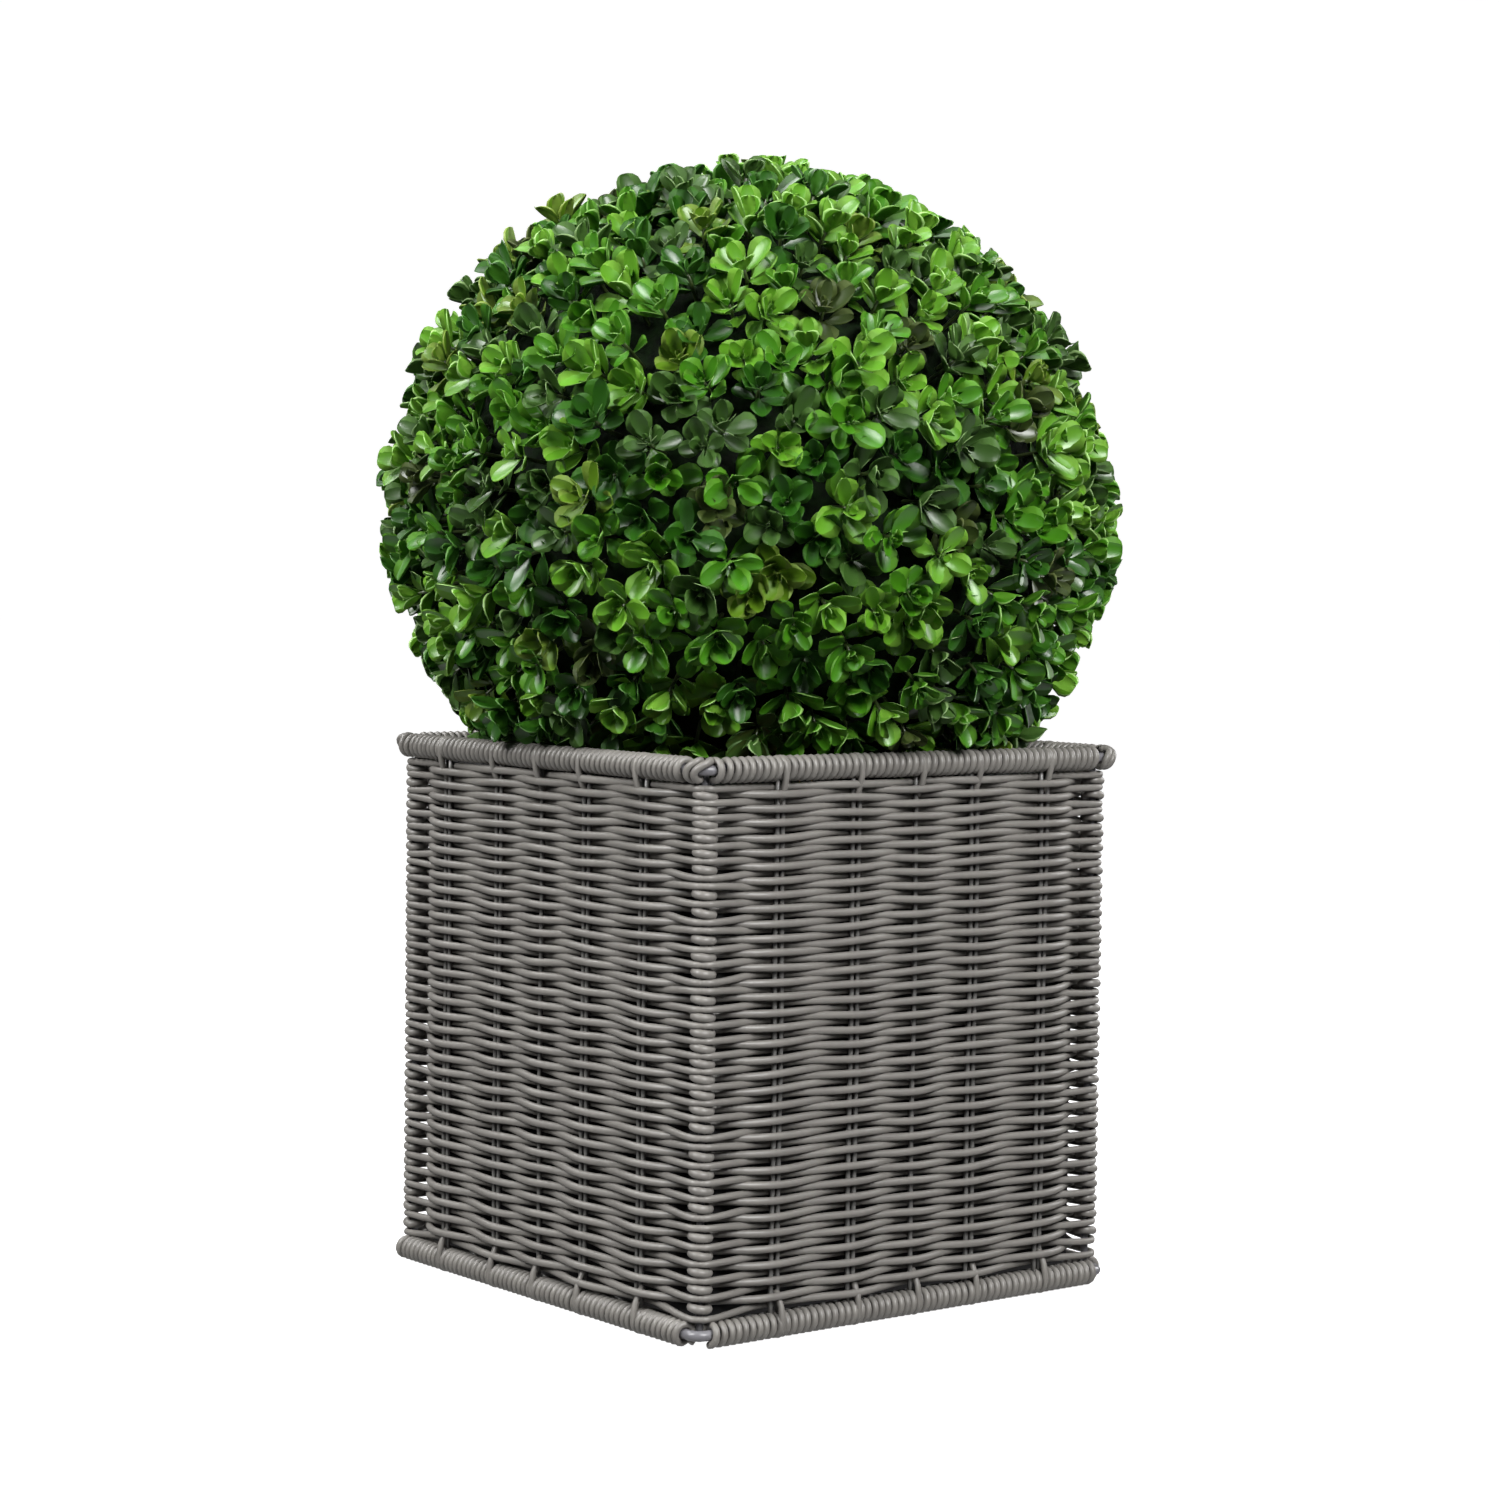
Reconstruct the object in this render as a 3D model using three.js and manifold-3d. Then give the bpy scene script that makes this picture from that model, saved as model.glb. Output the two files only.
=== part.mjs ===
// Artificial box topiary ball in a square wicker planter.
// Millimetres, +Z up. The origin is the middle of the flat underside of the planter's base.
// The planter's front face looks along -Y, its right face along +X.
//
// The planter is a steel rod frame (two square rings and four corner posts) bound and woven with
// round plastic cane. It holds a plastic liner, filled with coir, in which a short stem stands.
// The stem carries the ball: a moulded core in two halves, an upper and a lower one, each studded
// with twigs that end in a whorl of four box leaves.

import * as THREE from "three";
import { mergeVertices } from "three/addons/utils/BufferGeometryUtils.js";
import Module from "manifold-3d";

// ---- Driving dimensions ----

const SIDE = 240; // centre line to centre line of opposite sides of a rod ring
const RIM_HEIGHT = 249.1; // centre of the upper ring above the ground
const ROD = 5.2; // steel rod of the rings and posts
const CANE = 3.5; // round cane that binds and weaves
const STAKE = [5.6, 2.2]; // a pair of thin upright stakes: width along the wall, thickness
const STAKE_PLACES = [-78, -35, 0, 35, 78]; // along each wall, from its middle
const WEAVE_ROWS = 34; // rows of cane that pass outside the posts
const CLEAR = 0.3; // gap between pieces that touch
const BEND = 6; // bend radius of the rings' corners, at the rod's centre
const WEAVE_GAP = 2.8; // between a binding and the nearest row of the weave
const BASE_CUT = 12; // off the corners of the base panel

const BALL_HEIGHT = 364; // centre of the ball above the ground
const BALL_RADIUS = 173; // to the leaf tips, level
const BALL_RISE = 165.5; // to the leaf tips, upright
const CORE = { share: 0.87, rough: 0.035 }; // as shares of the ball
const SPRAYS = 114; // over the whole ball
const WHORL = { share: 0.9, spread: 0.02, leaves: 4, open: 56, openSpread: 14, lean: 0.35 };
const LEAF = { length: 34, width: 26, thick: 1.8, cup: 0.09, widest: 0.64 };
const TWIG = { foot: 3.4, tip: 2, sides: 3, sunk: 0.04 };

const LINER = { half: 104, corner: 30, wall: 1.6, top: 228 };
const COIR_TOP = 241.5;
const STEM = { foot: 120, top: 300, footRadius: 11, radius: 8 };

// ---- Worked out from them ----

const HALF = SIDE / 2;
const BIND_RADIUS = ROD / 2 + CANE; // outside of a bound rod
const BASE_RIM_HEIGHT = BIND_RADIUS; // the lower ring's binding lies on the ground
const WEAVE_THICK = STAKE[1] + 2 * CANE;
const POST_PLACE = HALF - BEND + (BEND - ROD - CLEAR) / Math.SQRT2; // inside the ring's bend
const BIND_HALF = POST_PLACE - ROD / 2 - CLEAR; // half the bound length of one side of a ring
const WEAVE_LOW = BASE_RIM_HEIGHT + BIND_RADIUS + WEAVE_GAP;
const WEAVE_HIGH = RIM_HEIGHT - BIND_RADIUS - WEAVE_GAP;
const BIND_SIDES = 10;
const ROD_SIDES = 8;
const BIND_CORNER = BIND_RADIUS / Math.cos(Math.PI / BIND_SIDES); // so that its flats are tangent
const GOLDEN_ANGLE = Math.PI * (3 - Math.sqrt(5));

const wasm = await Module();
wasm.setup();

// ---- Materials ----

const finish = (color, roughness, metalness = 0) =>
  new THREE.MeshStandardMaterial({ color, roughness, metalness });

const materials = {
  cane: finish(0x85817d, 0.5),
  rod: finish(0x77757c, 0.35, 0.6),
  liner: finish(0x0c0c0d, 0.6),
  coir: finish(0x9a7440, 0.95),
  stem: finish(0x4b3a2a, 0.8),
  leaf: finish(0x2f7a22, 0.45),
};

// ---- Between three.js geometry and solids that can be joined and cut ----

function bareGeometry(geometry) {
  const bare = new THREE.BufferGeometry();
  bare.setAttribute("position", geometry.getAttribute("position"));
  bare.setIndex(geometry.index);
  return bare;
}

function solidOf(geometry) {
  const merged = mergeVertices(bareGeometry(geometry), 1e-3);
  return new wasm.Manifold(
    new wasm.Mesh({
      numProp: 3,
      vertProperties: new Float32Array(merged.getAttribute("position").array),
      triVerts: new Uint32Array(merged.index.array),
    }),
  );
}

function geometryOf(solid) {
  const mesh = solid.getMesh();
  const geometry = new THREE.BufferGeometry();
  geometry.setAttribute("position", new THREE.BufferAttribute(mesh.vertProperties, 3));
  geometry.setIndex(new THREE.BufferAttribute(mesh.triVerts, 1));
  geometry.computeVertexNormals();
  return geometry;
}

const joined = (solids) => solids.reduce((whole, piece) => whole.add(piece));

// ---- Shapes that several pieces share ----

// A regular outline with a flat side at the bottom.
function regularOutline(sides, radius) {
  const turn = -Math.PI / 2 + Math.PI / sides;
  return Array.from({ length: sides }, (_, i) => {
    const angle = turn + (2 * Math.PI * i) / sides;
    return new THREE.Vector2(radius * Math.cos(angle), radius * Math.sin(angle));
  });
}

// A square with round corners, centred on the origin.
function roundedSquare(half, corner) {
  const inner = half - corner;
  const shape = new THREE.Shape();
  shape.absarc(inner, inner, corner, 0, Math.PI / 2);
  shape.absarc(-inner, inner, corner, Math.PI / 2, Math.PI);
  shape.absarc(-inner, -inner, corner, Math.PI, 1.5 * Math.PI);
  shape.absarc(inner, -inner, corner, 1.5 * Math.PI, 2 * Math.PI);
  shape.closePath();
  return shape;
}

function slab(shape, low, high, curveSegments = 3) {
  const options = { depth: high - low, bevelEnabled: false, curveSegments };
  return new THREE.ExtrudeGeometry(shape, options).translate(0, 0, low);
}

// An outline, outwards by height, drawn out along the front side and centred on it.
// It is turned so that outwards is -Y, height is +Z and the length runs along X.
function alongFront(shape, length) {
  const options = { depth: length, bevelEnabled: false };
  const geometry = new THREE.ExtrudeGeometry(shape, options).translate(0, 0, -length / 2);
  const basis = new THREE.Matrix4().makeBasis(
    new THREE.Vector3(0, -1, 0),
    new THREE.Vector3(0, 0, 1),
    new THREE.Vector3(-1, 0, 0),
  );
  return geometry.applyMatrix4(basis);
}

// ---- The frame ----

// A torus bent into a square ring with round corners. Each corner is a fan of sections,
// and a straight side joins the last section of one fan to the first of the next.
function squareRing() {
  const bendSteps = 2;
  const sections = 4 * (bendSteps + 1);
  const ring = new THREE.TorusGeometry(HALF, ROD / 2, ROD_SIDES, sections);
  const position = ring.getAttribute("position");
  const inner = HALF - BEND;
  const corners = [
    [1, 1],
    [-1, 1],
    [-1, -1],
    [1, -1],
  ];
  for (let j = 0; j <= ROD_SIDES; j++) {
    const around = (2 * Math.PI * (j % ROD_SIDES)) / ROD_SIDES;
    const reach = BEND + (ROD / 2) * Math.cos(around);
    const rise = (ROD / 2) * Math.sin(around);
    for (let i = 0; i <= sections; i++) {
      const section = i % sections;
      const corner = Math.floor(section / (bendSteps + 1));
      const step = section % (bendSteps + 1);
      const angle = (Math.PI / 2) * (corner + step / bendSteps);
      const [sx, sy] = corners[corner];
      position.setXYZ(
        j * (sections + 1) + i,
        sx * inner + reach * Math.cos(angle),
        sy * inner + reach * Math.sin(angle),
        rise,
      );
    }
  }
  return ring;
}

// Cane bound round one straight side of a ring, as a sleeve that is open for the rod.
function binding() {
  const shape = new THREE.Shape(regularOutline(BIND_SIDES, BIND_CORNER));
  const bore = (ROD / 2 + CLEAR) / Math.cos(Math.PI / ROD_SIDES);
  shape.holes.push(new THREE.Path(regularOutline(ROD_SIDES, bore)));
  return alongFront(shape, 2 * BIND_HALF).translate(0, -HALF, 0);
}

// A corner post: a rod that stands inside both rings, with its binding between them.
function cornerPost() {
  const low = BASE_RIM_HEIGHT + BIND_RADIUS + CLEAR;
  const high = RIM_HEIGHT - BIND_RADIUS - CLEAR;
  const profile = [
    [0, ROD / 2],
    [ROD / 2, ROD / 2],
    [ROD / 2, low],
    [BIND_RADIUS, low],
    [BIND_RADIUS, high],
    [ROD / 2, high],
    [ROD / 2, RIM_HEIGHT + ROD / 2],
    [0, RIM_HEIGHT + ROD / 2],
  ].map(([r, z]) => new THREE.Vector2(r, z));
  return new THREE.LatheGeometry(profile, ROD_SIDES).rotateX(Math.PI / 2);
}

// ---- The weave ----

// How far a line of the weave stands out at a column: the lines pass outside and inside the
// stakes by turns, and the lines that pass outside the posts are the even ones.
function weaveReach(column, line) {
  const over = (column + line) % 2 === 0;
  const atPost = column === 0 || column === STAKE_PLACES.length + 1;
  if (!atPost) return over ? WEAVE_THICK / 2 : STAKE[1] / 2 + CLEAR;
  const besidePost = POST_PLACE + BIND_RADIUS - HALF;
  return over ? besidePost : besidePost - CANE / 2;
}

// Turns the diagonal of every square of a box's grids to join its two deeper corners,
// so that each place where a line passes outside stands alone.
function turnDiagonals(geometry) {
  const { index } = geometry;
  const position = geometry.getAttribute("position");
  const reach = (corner) => position.getZ(corner);
  for (let i = 0; i < index.count; i += 6) {
    const [a, b, d, c] = [0, 1, 2, 4].map((k) => index.getX(i + k));
    if (reach(b) + reach(d) > reach(a) + reach(c)) {
      [a, b, c, a, c, d].forEach((corner, k) => index.setX(i + k, corner));
    }
  }
}

// The woven wall of the front side: a block with the weave's relief on it, cut to the wall's
// thickness, and the stakes, whose ends stand between the weave and the bindings of the rings.
function wovenWall() {
  const end = POST_PLACE - BIND_RADIUS - CLEAR;
  const columns = [-end, ...STAKE_PLACES, end];
  const spaces = columns.length - 1;
  const lines = 2 * WEAVE_ROWS;
  const height = WEAVE_HIGH - WEAVE_LOW;
  const panel = new THREE.BoxGeometry(2 * end, height, 2 * WEAVE_THICK, spaces, lines, 1);
  const position = panel.getAttribute("position");
  for (let i = 0; i < position.count; i++) {
    const column = Math.round((position.getX(i) / (2 * end) + 0.5) * spaces);
    const line = Math.round((position.getY(i) / height + 0.5) * lines);
    position.setX(i, columns[column]);
    if (position.getZ(i) > 0) position.setZ(i, weaveReach(column, line));
  }
  turnDiagonals(panel);
  panel.rotateX(Math.PI / 2).translate(0, -HALF, (WEAVE_LOW + WEAVE_HIGH) / 2);
  const inside = new THREE.BoxGeometry(SIDE, SIDE, 3 * SIDE);
  const relief = solidOf(panel).subtract(solidOf(inside.translate(0, WEAVE_THICK / 2, 0)));

  const low = BASE_RIM_HEIGHT + BIND_CORNER + CLEAR;
  const high = RIM_HEIGHT - BIND_CORNER - CLEAR;
  const stakes = STAKE_PLACES.map((place) => {
    const width = place === 0 ? STAKE[1] : STAKE[0];
    const stake = new THREE.BoxGeometry(width, STAKE[1], high - low);
    return solidOf(stake.translate(place, -HALF, (low + high) / 2));
  });
  return geometryOf(joined([relief, ...stakes]));
}

// The woven base, flush with the underside of the lower ring's binding. Its corners are cut
// off to clear the posts.
function basePanel() {
  const half = HALF - BIND_CORNER - CLEAR;
  const outline = [];
  for (let quarter = 0; quarter < 4; quarter++) {
    const turn = (Math.PI / 2) * quarter;
    for (const [x, y] of [
      [half, half - BASE_CUT],
      [half - BASE_CUT, half],
    ]) {
      outline.push(new THREE.Vector2(x, y).rotateAround(new THREE.Vector2(), turn));
    }
  }
  return slab(new THREE.Shape(outline), 0, WEAVE_THICK);
}

// ---- What fills the planter ----

// A repeatable number from 0 to 1 for thing i and purpose k.
function chance(i, k) {
  const wave = Math.sin(i * 12.9898 + k * 78.233) * 43758.5453;
  return wave - Math.floor(wave);
}

// The ball's core, a ball with a rough surface, grown by a clearance where something is cut
// to hold it.
function coreSolid(grow) {
  const core = mergeVertices(bareGeometry(new THREE.IcosahedronGeometry(1, 3)), 1e-3);
  const position = core.getAttribute("position");
  const size = new THREE.Vector3(BALL_RADIUS, BALL_RADIUS, BALL_RISE);
  const corner = new THREE.Vector3();
  for (let i = 0; i < position.count; i++) {
    const share = CORE.share - CORE.rough * chance(i, 0);
    const grown = size.clone().multiplyScalar(share).addScalar(grow);
    corner.fromBufferAttribute(position, i).multiply(grown);
    position.setXYZ(i, corner.x, corner.y, corner.z + BALL_HEIGHT);
  }
  return solidOf(core);
}

function liner() {
  const floor = WEAVE_THICK + CLEAR;
  const { half, corner, wall, top } = LINER;
  const outer = solidOf(slab(roundedSquare(half, corner), floor, top));
  const inside = roundedSquare(half - wall, corner - wall);
  const room = solidOf(slab(inside, floor + wall, top + wall));
  return geometryOf(outer.subtract(room));
}

// Coir, heaped over the liner's edge nearly to the rim, with a dish pressed in it by the
// ball and a hole in which the stem stands.
function coirSolid() {
  const { half, corner, wall, top } = LINER;
  const inset = wall + CLEAR;
  const inside = roundedSquare(half - inset, corner - inset);
  const fill = solidOf(slab(inside, WEAVE_THICK + CLEAR + inset, COIR_TOP - CANE));
  return fill.add(solidOf(slab(roundedSquare(half, corner), top + CLEAR, COIR_TOP)));
}

const coirFill = () => geometryOf(coirSolid().subtract(coreSolid(CLEAR)).subtract(stemSolid(CLEAR)));

// ---- The stem ----

function stemSolid(grow) {
  const { foot, top, footRadius, radius } = STEM;
  const flare = foot + 0.15 * (top - foot);
  const profile = [
    [0, foot - grow],
    [footRadius + grow, foot - grow],
    [radius + 0.6 + grow, flare],
    [radius - 1 + grow, top + grow],
    [0, top + grow],
  ].map(([r, z]) => new THREE.Vector2(r, z));
  return solidOf(new THREE.LatheGeometry(profile, ROD_SIDES).rotateX(Math.PI / 2));
}

// ---- The ball ----

// A point on the ball, at a share of its radius.
const onBall = (way, share) =>
  new THREE.Vector3(
    way.x * BALL_RADIUS * share,
    way.y * BALL_RADIUS * share,
    way.z * BALL_RISE * share + BALL_HEIGHT,
  );

// How far the ball's outside is from a point inside it, the way that a leaf grows.
function distanceOut(point, way) {
  const squash = new THREE.Vector3(1 / BALL_RADIUS, 1 / BALL_RADIUS, 1 / BALL_RISE);
  const from = point.clone().setZ(point.z - BALL_HEIGHT).multiply(squash);
  const go = way.clone().multiply(squash);
  const half = from.dot(go) / go.lengthSq();
  return Math.sqrt(half * half + (1 - from.lengthSq()) / go.lengthSq()) - half;
}

// The frame of spray i: the points lie on a golden spiral, each with its own tilt and twist.
function sprayFrame(i) {
  const up = 1 - (2 * (i + 0.5)) / SPRAYS;
  const level = Math.sqrt(1 - up * up);
  const angle = i * GOLDEN_ANGLE;
  const way = new THREE.Vector3(level * Math.cos(angle), level * Math.sin(angle), up);
  const lean = new THREE.Vector3(chance(i, 1), chance(i, 2), chance(i, 3)).subScalar(0.5);
  const axis = way.clone().addScaledVector(lean, WHORL.lean).normalize();
  const side = new THREE.Vector3(-way.y, way.x, 0);
  side.addScaledVector(axis, -side.dot(axis)).normalize();
  return { way, axis, side, twist: 2 * Math.PI * chance(i, 4) };
}

// A leaf of eight faces. It grows along +X from a root point, with its upper side towards +Z.
function leafBlade(root, length, width) {
  const leaf = new THREE.OctahedronGeometry(1, 0);
  const position = leaf.getAttribute("position");
  const corner = new THREE.Vector3();
  const cup = LEAF.cup * length;
  const widest = LEAF.widest * length;
  for (let i = 0; i < position.count; i++) {
    corner.fromBufferAttribute(position, i).round();
    if (corner.x > 0) position.setXYZ(i, length, 0, cup);
    else if (corner.x < 0) position.setXYZ(i, root, 0, 0);
    else if (corner.y !== 0) position.setXYZ(i, widest, (corner.y * width) / 2, cup);
    else position.setXYZ(i, 0.9 * widest, 0, (corner.z * LEAF.thick) / 2);
  }
  return leaf;
}

// The solids of spray i: a twig sunk in the core, and its whorl of leaves. Each leaf's root
// point lies inside the twig, beside the twig's axis.
function spray(i) {
  const { way, axis, side, twist } = sprayFrame(i);
  const whorl = onBall(way, WHORL.share + WHORL.spread * chance(i, 5));
  const root = onBall(way, CORE.share - CORE.rough - TWIG.sunk);
  const along = whorl.clone().sub(root);
  const length = along.length() + TWIG.tip;
  const twig = new THREE.CylinderGeometry(TWIG.tip, TWIG.foot, length, TWIG.sides);
  const turn = new THREE.Quaternion().setFromUnitVectors(
    new THREE.Vector3(0, 1, 0),
    along.normalize(),
  );
  twig.translate(0, length / 2, 0).applyQuaternion(turn).translate(root.x, root.y, root.z);

  const leaves = [];
  for (let k = 0; k < WHORL.leaves; k++) {
    const open = THREE.MathUtils.degToRad(WHORL.open + WHORL.openSpread * chance(i, 20 + k));
    const around = twist + (2 * Math.PI * k) / WHORL.leaves;
    const outwards = side.clone().applyAxisAngle(axis, around);
    const forwards = axis.clone().multiplyScalar(Math.cos(open));
    forwards.addScaledVector(outwards, Math.sin(open));
    const across = new THREE.Vector3().crossVectors(axis, outwards);
    const upper = new THREE.Vector3().crossVectors(forwards, across);
    const room = distanceOut(whorl, forwards) / (1 + LEAF.cup / 2);
    const reach = Math.min(LEAF.length * (0.9 + 0.12 * chance(i, 10 + k)), room);
    const width = LEAF.width * (0.9 + 0.15 * chance(i, 30 + k));
    const blade = leafBlade(0.4 * TWIG.tip, reach, width);
    const place = new THREE.Matrix4().makeBasis(forwards, across, upper).setPosition(whorl);
    leaves.push(solidOf(blade.applyMatrix4(place)));
  }
  return { twig: solidOf(twig), leaves };
}

// What twigs and leaves keep clear of: the upper ring and its bindings, the tops of the walls
// and posts, and the coir.
function obstacles() {
  const bar = new THREE.Shape(regularOutline(BIND_SIDES, BIND_CORNER + 2 * CLEAR));
  const wall = new THREE.BoxGeometry(SIDE, WEAVE_THICK + 4 * CLEAR, RIM_HEIGHT);
  const postSize = 2 * (BIND_RADIUS + 2 * CLEAR);
  const post = new THREE.BoxGeometry(postSize, postSize, RIM_HEIGHT + ROD + 4 * CLEAR);
  const side = joined([
    solidOf(alongFront(bar, SIDE).translate(0, -HALF, RIM_HEIGHT)),
    solidOf(wall.translate(0, -HALF, RIM_HEIGHT / 2)),
    solidOf(post.translate(POST_PLACE, -POST_PLACE, RIM_HEIGHT / 2)),
  ]);
  const sides = [0, 90, 180, 270].map((degrees) => side.rotate([0, 0, degrees]));
  return joined([coirSolid().translate([0, 0, 2 * CLEAR]), ...sides]);
}

// One half of the ball: half of the core, cut clear of the stem, and the sprays rooted in it.
// They are cut at the seam between the halves, and what would touch an obstacle is left out.
function ballHalf(isUpper) {
  const blocked = obstacles();
  const parts = [coreSolid(0)];
  for (let i = 0; i < SPRAYS; i++) {
    if (sprayFrame(i).way.z > 0 !== isUpper) continue;
    const { twig, leaves } = spray(i);
    if (!twig.intersect(blocked).isEmpty()) continue;
    parts.push(twig, ...leaves.filter((leaf) => leaf.intersect(blocked).isEmpty()));
  }
  const reach = 2 * BALL_RADIUS + LEAF.length;
  const other = new THREE.BoxGeometry(reach, reach, reach);
  const centre = ((reach - CLEAR) / 2) * (isUpper ? -1 : 1);
  const half = joined(parts)
    .subtract(solidOf(other.translate(0, 0, BALL_HEIGHT + centre)))
    .subtract(stemSolid(CLEAR));
  return geometryOf(half.decompose().reduce((a, b) => (b.volume() > a.volume() ? b : a)));
}

// ---- Assembly ----

const topiary = new THREE.Group();

function place(parent, name, geometry, material, height = 0) {
  const mesh = new THREE.Mesh(geometry, material);
  mesh.name = name;
  mesh.position.z = height;
  parent.add(mesh);
}

place(topiary, "base_panel", basePanel(), materials.cane);
place(topiary, "lower_rod", squareRing(), materials.rod, BASE_RIM_HEIGHT);
place(topiary, "upper_rod", squareRing(), materials.rod, RIM_HEIGHT);

const sides = ["front", "right", "back", "left"];
const corners = ["front_right", "back_right", "back_left", "front_left"];
sides.forEach((name, quarter) => {
  const sideGroup = new THREE.Group();
  sideGroup.rotation.z = (Math.PI / 2) * quarter;
  place(sideGroup, `lower_binding_${name}`, binding(), materials.cane, BASE_RIM_HEIGHT);
  place(sideGroup, `upper_binding_${name}`, binding(), materials.cane, RIM_HEIGHT);
  place(sideGroup, `wall_${name}`, wovenWall(), materials.cane);
  const post = cornerPost().translate(POST_PLACE, -POST_PLACE, 0);
  place(sideGroup, `corner_post_${corners[quarter]}`, post, materials.cane);
  topiary.add(sideGroup);
});

place(topiary, "liner", liner(), materials.liner);
place(topiary, "coir_fill", coirFill(), materials.coir);
place(topiary, "stem", geometryOf(stemSolid(0)), materials.stem);
place(topiary, "foliage_lower", ballHalf(false), materials.leaf);
place(topiary, "foliage_upper", ballHalf(true), materials.leaf);

export default topiary;
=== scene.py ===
"""An artificial box topiary ball in a square wicker planter, dressed round its solid model.

Sizes are in millimetres and the meshes are made in metres. +Z is up, the planter's front looks
along -Y and its right side along +X. The origin is the middle of the planter's underside.
"""

import logging
import math
from collections.abc import Sequence
from dataclasses import dataclass, field, replace
from enum import Enum

import bpy
import numpy as np
from mathutils import Matrix, Vector


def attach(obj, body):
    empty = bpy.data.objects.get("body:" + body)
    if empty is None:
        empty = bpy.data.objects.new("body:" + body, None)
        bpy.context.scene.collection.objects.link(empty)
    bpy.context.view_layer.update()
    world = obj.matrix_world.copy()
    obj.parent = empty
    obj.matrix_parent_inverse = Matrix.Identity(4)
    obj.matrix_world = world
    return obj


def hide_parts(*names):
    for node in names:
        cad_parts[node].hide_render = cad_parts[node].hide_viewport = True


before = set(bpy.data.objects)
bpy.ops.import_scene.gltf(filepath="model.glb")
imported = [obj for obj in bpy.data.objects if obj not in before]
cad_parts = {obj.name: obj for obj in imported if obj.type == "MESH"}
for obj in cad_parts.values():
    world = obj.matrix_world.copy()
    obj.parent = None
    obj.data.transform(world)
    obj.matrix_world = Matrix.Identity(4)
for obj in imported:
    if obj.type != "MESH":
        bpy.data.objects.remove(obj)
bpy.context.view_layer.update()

LOG = logging.getLogger("topiary")
METRE = 0.001
SIDES = ("front", "right", "back", "left")
CORNERS = ("front_right", "back_right", "back_left", "front_left")
GOLDEN_ANGLE = math.pi * (3.0 - math.sqrt(5.0))
PHASES = 6.28

Array = np.ndarray
Span = tuple[float, float]
Colour = tuple[float, float, float]
Place = tuple[float, float, float]
Stops = Sequence[tuple[float, Colour]]
Material = bpy.types.Material
Socket = bpy.types.NodeSocket


# ---- Numbers and arrays ----


def chance(i: Array | float, k: Array | float) -> Array:
    """Gives a repeatable number from 0 to 1: the fraction left of a large multiple of a sine.

    Args:
        i: Which thing.
        k: Which of its traits.

    Returns:
        The numbers, in the shape that i and k broadcast to.
    """
    wave = np.sin(np.asarray(i) * 12.9898 + np.asarray(k) * 78.233) * 43758.5453
    return wave - np.floor(wave)


def within(span: Span, i: Array | float, k: Array | float) -> Array:
    """Gives a repeatable number from a span, by the number of the thing and of its trait."""
    return span[0] + (span[1] - span[0]) * chance(i, k)


def unit(vectors: Array) -> Array:
    """Scales each vector of an array to length one."""
    return vectors / np.maximum(np.linalg.norm(vectors, axis=-1, keepdims=True), 1e-12)


def eased(share: Array) -> Array:
    """Clips a share to 0 to 1 and eases it in and out, as three squares less two cubes."""
    share = np.clip(share, 0, 1)
    return share * share * (3 - 2 * share)


def full_turn(count: int) -> Array:
    """Gives evenly spaced angles of one full turn."""
    return 2 * math.pi * np.arange(count) / count


def xyz(x: Array | float, y: Array | float, z: Array | float) -> Array:
    """Puts coordinates together into points, in the shape that they broadcast to."""
    return np.stack(np.broadcast_arrays(x, y, z), -1)


def quarter_turns(points: Array, quarter: int) -> Array:
    """Turns points about the Z axis by quarter turns.

    Args:
        points: The points.
        quarter: How many quarter turns, anticlockwise from above.

    Returns:
        The turned points.
    """
    c, s = ((1, 0), (0, 1), (-1, 0), (0, -1))[quarter % 4]
    x, y, z = np.moveaxis(points, -1, 0)
    return xyz(c * x - s * y, s * x + c * y, z)


def closed_spline(corners: Array, steps: int) -> Array:
    """Draws a smooth closed curve through points, with Catmull and Rom's cubic.

    Between two points the curve is the cubic whose slope at each is half the way from the
    point before it to the point after it.

    Args:
        corners: The points, one a row.
        steps: How many steps to take between two points.

    Returns:
        The points of the curve, one a row, without the first one repeated.
    """
    before, here, after, beyond = (np.roll(corners, k, axis=0)[:, None] for k in (1, 0, -1, -2))
    t = (np.arange(steps) / steps)[None, :, None]
    curve = 0.5 * (
        2 * here
        + (after - before) * t
        + (2 * before - 5 * here + 4 * after - beyond) * t**2
        + (3 * here - before - 3 * after + beyond) * t**3
    )
    return curve.reshape(-1, corners.shape[-1])


# ---- Surfaces ----


@dataclass
class Surface:
    """A surface as whole arrays.

    Attributes:
        points: The corner points, in millimetres, one a row.
        faces: Tables of faces, each with three or four point numbers a row.
        finishes: For each table, the number of the finish of each of its faces.
        lengthways: For each table, the distance along and round the piece at each corner.
    """

    points: Array
    faces: list[Array]
    finishes: list[Array] = field(default_factory=list)
    lengthways: list[Array] = field(default_factory=list)

    def __post_init__(self) -> None:
        """Gives every face the first finish where none is told."""
        if not self.finishes:
            self.finishes = [np.zeros(len(f), int) for f in self.faces]

    def turned(self, quarter: int) -> "Surface":
        """Copies the surface, turned about Z by a number of quarter turns."""
        points = quarter_turns(self.points, quarter)
        return Surface(points, self.faces, self.finishes, self.lengthways)

    @staticmethod
    def joined(parts: Sequence["Surface"]) -> "Surface":
        """Puts several surfaces into one, each with its point numbers shifted.

        Args:
            parts: The surfaces.

        Returns:
            One surface that holds them all.
        """
        starts = np.cumsum([0] + [len(p.points) for p in parts[:-1]])
        return Surface(
            np.concatenate([p.points for p in parts]),
            [f + start for p, start in zip(parts, starts) for f in p.faces],
            [m for p in parts for m in p.finishes],
            [u for p in parts for u in p.lengthways],
        )

    def triangles(self) -> int:
        """Counts the triangles that the surface comes to."""
        return sum(len(f) * (f.shape[1] - 2) for f in self.faces)


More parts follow.
